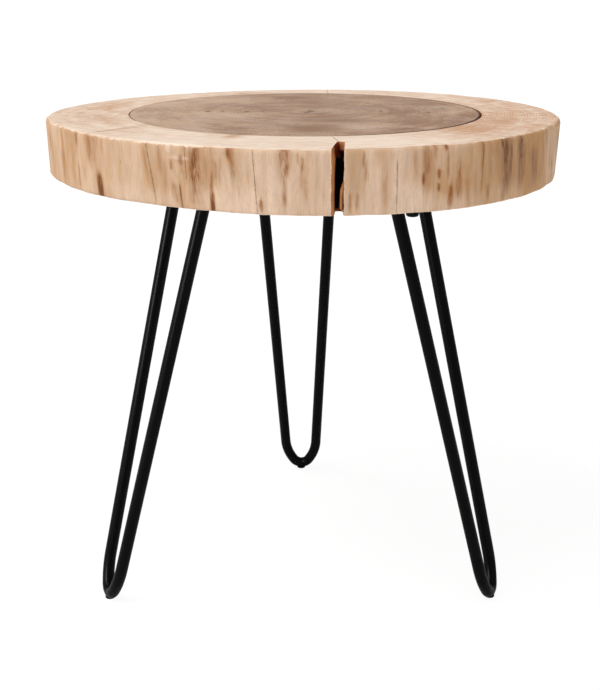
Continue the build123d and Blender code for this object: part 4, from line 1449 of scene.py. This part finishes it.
def screw_tree():
    """One screw in the middle of a plate and one near each corner, each turned by chance."""
    n, given = start_shape("Plate screws", ("Across", "Along"), "Seed", 0)
    sizes = {"Size X": given["Across"], "Size Y": given["Along"], "Vertices X": 2, "Vertices Y": 2}
    spots = n.put("GeometryNodeJoinGeometry")
    n.feed(spots, {0: n.geometry("MeshGrid", sizes)})
    n.feed(spots, {0: n.geometry("MeshLine", {"Count": 1}, mode="OFFSET")})
    turns = {"Min": (0.0, 0.0, 0.0), "Max": (0.0, 0.0, 2 * math.pi), "Seed": given["Seed"]}
    chance = n.put("FunctionNodeRandomValue", turns, data_type="FLOAT_VECTOR").outputs["Value"]
    inputs = {"Points": spots.outputs[0], "Instance": given["Geometry"], "Rotation": chance}
    return finish_shape(n, n.geometry("InstanceOnPoints", inputs), given)


# ---------------------------------------------------------------- operators


def settings(name):
    return getattr(bpy.context.scene, "table_" + name)


def make_for_legs(kind, node, record_slot, material, shape):
    """One piece for each leg; shape gives its mesh from the leg's name, place and turn."""
    for name, (place, turn) in leg_places().items():
        mesh = shape(name, place, turn)
        finish_piece(f"{kind}_{name}", mesh, (material,), record_slot, f"{node}_{name}")


class TABLE_OT_slice(bpy.types.Operator):
    """Log slice with its recess, its wide crack and its fine checks"""

    bl_idname = "table.make_slice"
    bl_label = "Log slice"

    def execute(self, context):
        log, inlay = settings("slice"), settings("inlay")
        materials = (log_material(log, inlay), torn_material(log))
        finish_piece("slice", slice_mesh(log, inlay), materials, "log_wood", "log_slab")
        return {"FINISHED"}


class TABLE_OT_inlay(bpy.types.Operator):
    """Round inlay that lies flush in the slice"""

    bl_idname = "table.make_inlay"
    bl_label = "Inlay"

    def execute(self, context):
        inlay = settings("inlay")
        finish_piece("inlay", inlay_mesh(inlay), (inlay_material(inlay),), "inlay_wood", "inlay_disc")
        return {"FINISHED"}


class TABLE_OT_bars(bpy.types.Operator):
    """Three hairpin bars, each one round bar bent at the foot"""

    bl_idname = "table.make_bars"
    bl_label = "Hairpin bars"

    def execute(self, context):
        legs, tree = settings("legs"), hairpin_tree()
        coat = coat_material(COAT, legs.coat, 1500.0)
        sizes = {"Bar": legs.bar, "Spread": legs.spread, "Spare": 3 * MM, "Sides": legs.sides}
        sizes |= leg_lines(legs)

        def shape(name, place, turn):
            inputs = sizes | {"Place": place, "Turn": turn, "Material": coat}
            mesh = evaluated_mesh(f"bar_{name}", tree, inputs)
            shade(mesh, 40.0)
            return mesh

        make_for_legs("bar", "hairpin_rod", "black_powder_coat", coat, shape)
        return {"FINISHED"}


class TABLE_OT_discs(bpy.types.Operator):
    """Small round discs between the feet and the floor"""

    bl_idname = "table.make_discs"
    bl_label = "Foot discs"

    def execute(self, context):
        def shape(name, place, turn):
            return disc_mesh(settings("legs"), place, turn)

        make_for_legs("disc", "foot_disc", "black_powder_coat", bpy.data.materials[COAT], shape)
        return {"FINISHED"}


class TABLE_OT_welds(bpy.types.Operator):
    """Weld beads that join each bar's ends to its plate"""

    bl_idname = "table.make_welds"
    bl_label = "Welds"

    def execute(self, context):
        legs, tree = settings("legs"), weld_tree()
        coat, lines = bpy.data.materials[COAT], leg_lines(legs)
        sizes = {"Bar": legs.bar, "Spread": legs.spread, "Weld": legs.weld, "Ripples": legs.ripples}
        sizes |= {label: lines[label] for label in ("Lean in", "Lean out")}

        def shape(name, place, turn):
            inputs = sizes | {"Place": place, "Turn": turn, "Material": coat}
            mesh = evaluated_mesh(f"weld_{name}", tree, inputs)
            shade(mesh, 50.0)
            return mesh

        make_for_legs("weld", "weld_beads", "black_powder_coat", coat, shape)
        return {"FINISHED"}


class TABLE_OT_plates(bpy.types.Operator):
    """Steel plates between the bars and the slice"""

    bl_idname = "table.make_plates"
    bl_label = "Plates"

    def execute(self, context):
        def shape(name, place, turn):
            return plate_mesh(settings("plates"), UNDERSIDE - PLATE_FACE, place, turn)

        make_for_legs("plate", "mounting_plate", "black_powder_coat", bpy.data.materials[COAT], shape)
        return {"FINISHED"}


class TABLE_OT_screws(bpy.types.Operator):
    """Screws that hold the plates, and the single screw near the rim"""

    bl_idname = "table.make_screws"
    bl_label = "Screws"

    def execute(self, context):
        screws, plates, tree = settings("screws"), settings("plates"), screw_tree()
        black = coat_material("Black screw", screws.coat, 2600.0)
        sizes = {"Across": plates.across - 2 * plates.inset, "Along": plates.along - 2 * plates.inset}

        def shape(name, place, turn):
            inputs = sizes | {"Seed": list(LEGS).index(name), "Place": place, "Turn": turn, "Material": black}
            screw = screw_mesh(screws, screws.head, screws.head_height)
            return evaluated_mesh(f"screws_{name}", tree, inputs, screw)

        make_for_legs("screws", "plate_screws", "black_screw", black, shape)
        mesh = screw_mesh(screws, screws.rim_head, screws.rim_head_height)
        mesh.transform(Matrix.Translation(box_middle("rim_screw", UNDERSIDE)))
        finish_piece("screw_rim", mesh, (black,), "black_screw", "rim_screw")
        return {"FINISHED"}


class TABLE_OT_stage(bpy.types.Operator):
    """Floor, lights, surrounding light and camera"""

    bl_idname = "table.make_stage"
    bl_label = "Stage"

    def execute(self, context):
        stage = settings("stage")
        for make in (make_floor, make_lights, make_sky, make_camera):
            make(stage)
        context.scene.view_settings.view_transform = "Standard"
        return {"FINISHED"}


def make_floor(stage):
    half = 40.0
    corners = [(-half, -half, 0), (half, -half, 0), (half, half, 0), (-half, half, 0)]
    mesh = bpy.data.meshes.new("floor")
    mesh.from_pydata(corners, [], [(0, 1, 2, 3)])
    material = bpy.data.materials.new("Floor")
    material.use_nodes = True
    material.node_tree.nodes.clear()
    n = Nodes(material.node_tree)
    matt = n.put("ShaderNodeBsdfDiffuse", {"Color": rgba(stage.floor)}).outputs[0]
    glow = n.put("ShaderNodeEmission", {"Color": WHITE, "Strength": stage.glow}).outputs[0]
    seen = n.put("ShaderNodeLightPath").outputs["Is Camera Ray"]
    away = n.vectors("LENGTH", n.put("ShaderNodeTexCoord").outputs["Object"])
    share = n.times(seen, n.between(away, 0.5, 1.3, stage.plain, 1.0))
    mixed = n.put("ShaderNodeMixShader", {0: share, 1: matt, 2: glow}).outputs[0]
    n.put("ShaderNodeOutputMaterial", {"Surface": mixed})
    mesh.materials.append(material)
    floor = bpy.data.objects.new("floor", mesh)
    bpy.context.scene.collection.objects.link(floor)


def aimed_lamp(light, place, aim):
    lamp = bpy.data.objects.new(light.name, light)
    lamp.location = place
    lamp.rotation_euler = (Vector(aim) - Vector(place)).to_track_quat("-Z", "Y").to_euler()
    bpy.context.scene.collection.objects.link(lamp)
    return lamp


def make_lights(stage):
    """High even light from the left, a weaker one from the right, and two softboxes on the left."""
    for name, strength, place, spread in (
        ("key", 0.7 * stage.key, (-0.47, -0.36, 1.0), 26.0),
        ("second key", 0.3 * stage.key, (-0.7, 0.05, 1.0), 20.0),
        ("fill", stage.fill, (0.7, -0.9, 0.9), 60.0),
    ):
        light = bpy.data.lights.new(name, "SUN")
        light.energy, light.angle = strength, math.radians(spread)
        aimed_lamp(light, place, (0.0, 0.0, 0.0))
    for name, power, wide, high, place, aim in (
        ("side", stage.side, 0.8, 1.6, (-2.0, -0.5, 0.8), (0.0, 0.0, 0.3)),
        ("highlight", stage.highlight, 0.3, 0.6, (-1.1, -1.0, 0.62), (0.0, -0.1, 0.3)),
    ):
        light = bpy.data.lights.new(name, "AREA")
        light.energy, light.shape, light.size, light.size_y = power, "RECTANGLE", wide, high
        lamp = aimed_lamp(light, place, aim)
        lamp.visible_diffuse = name != "highlight"


def make_sky(stage):
    world = bpy.data.worlds.new("Sky")
    bpy.context.scene.world = world
    world.use_nodes = True
    world.node_tree.nodes.clear()
    n = Nodes(world.node_tree)
    strength = n.maths("MAXIMUM", n.put("ShaderNodeLightPath").outputs["Is Camera Ray"], stage.sky)
    sky = n.put("ShaderNodeBackground", {"Color": WHITE, "Strength": strength}).outputs[0]
    n.put("ShaderNodeOutputWorld", {"Surface": sky})


def make_camera(stage):
    camera = bpy.data.cameras.new("camera")
    camera.lens = stage.lens
    rig = bpy.data.objects.new("camera", camera)
    rig.location = (stage.camera_x, stage.camera_y, stage.camera_z)
    rig.rotation_euler = (math.pi / 2 - stage.camera_down, 0.0, -stage.camera_right)
    bpy.context.scene.collection.objects.link(rig)
    bpy.context.scene.camera = rig


class TABLE_PT_panel(bpy.types.Panel):
    """Steps that build the table, in order"""

    bl_idname = "TABLE_PT_panel"
    bl_label = "Log slice table"
    bl_space_type = "VIEW_3D"
    bl_region_type = "UI"
    bl_category = "Table"

    def draw(self, context):
        for step in STEPS:
            self.layout.operator(step.bl_idname)


STEPS = (
    TABLE_OT_slice,
    TABLE_OT_inlay,
    TABLE_OT_bars,
    TABLE_OT_discs,
    TABLE_OT_welds,
    TABLE_OT_plates,
    TABLE_OT_screws,
    TABLE_OT_stage,
)
GROUPS = {
    "slice": SliceSettings,
    "inlay": InlaySettings,
    "legs": LegSettings,
    "plates": PlateSettings,
    "screws": ScrewSettings,
    "stage": StageSettings,
}


def register():
    for name, group in GROUPS.items():
        bpy.utils.register_class(group)
        setattr(bpy.types.Scene, "table_" + name, PointerProperty(type=group))
    for kind in (*STEPS, TABLE_PT_panel):
        bpy.utils.register_class(kind)


def unregister():
    for kind in reversed((*STEPS, TABLE_PT_panel)):
        bpy.utils.unregister_class(kind)
    for name, group in reversed(GROUPS.items()):
        delattr(bpy.types.Scene, "table_" + name)
        bpy.utils.unregister_class(group)


def main():
    register()
    fibre_group()
    end_grain_group()
    coat_group()
    for step in STEPS:
        family, action = step.bl_idname.split(".")
        getattr(getattr(bpy.ops, family), action)()


if __name__ == "__main__":
    main()
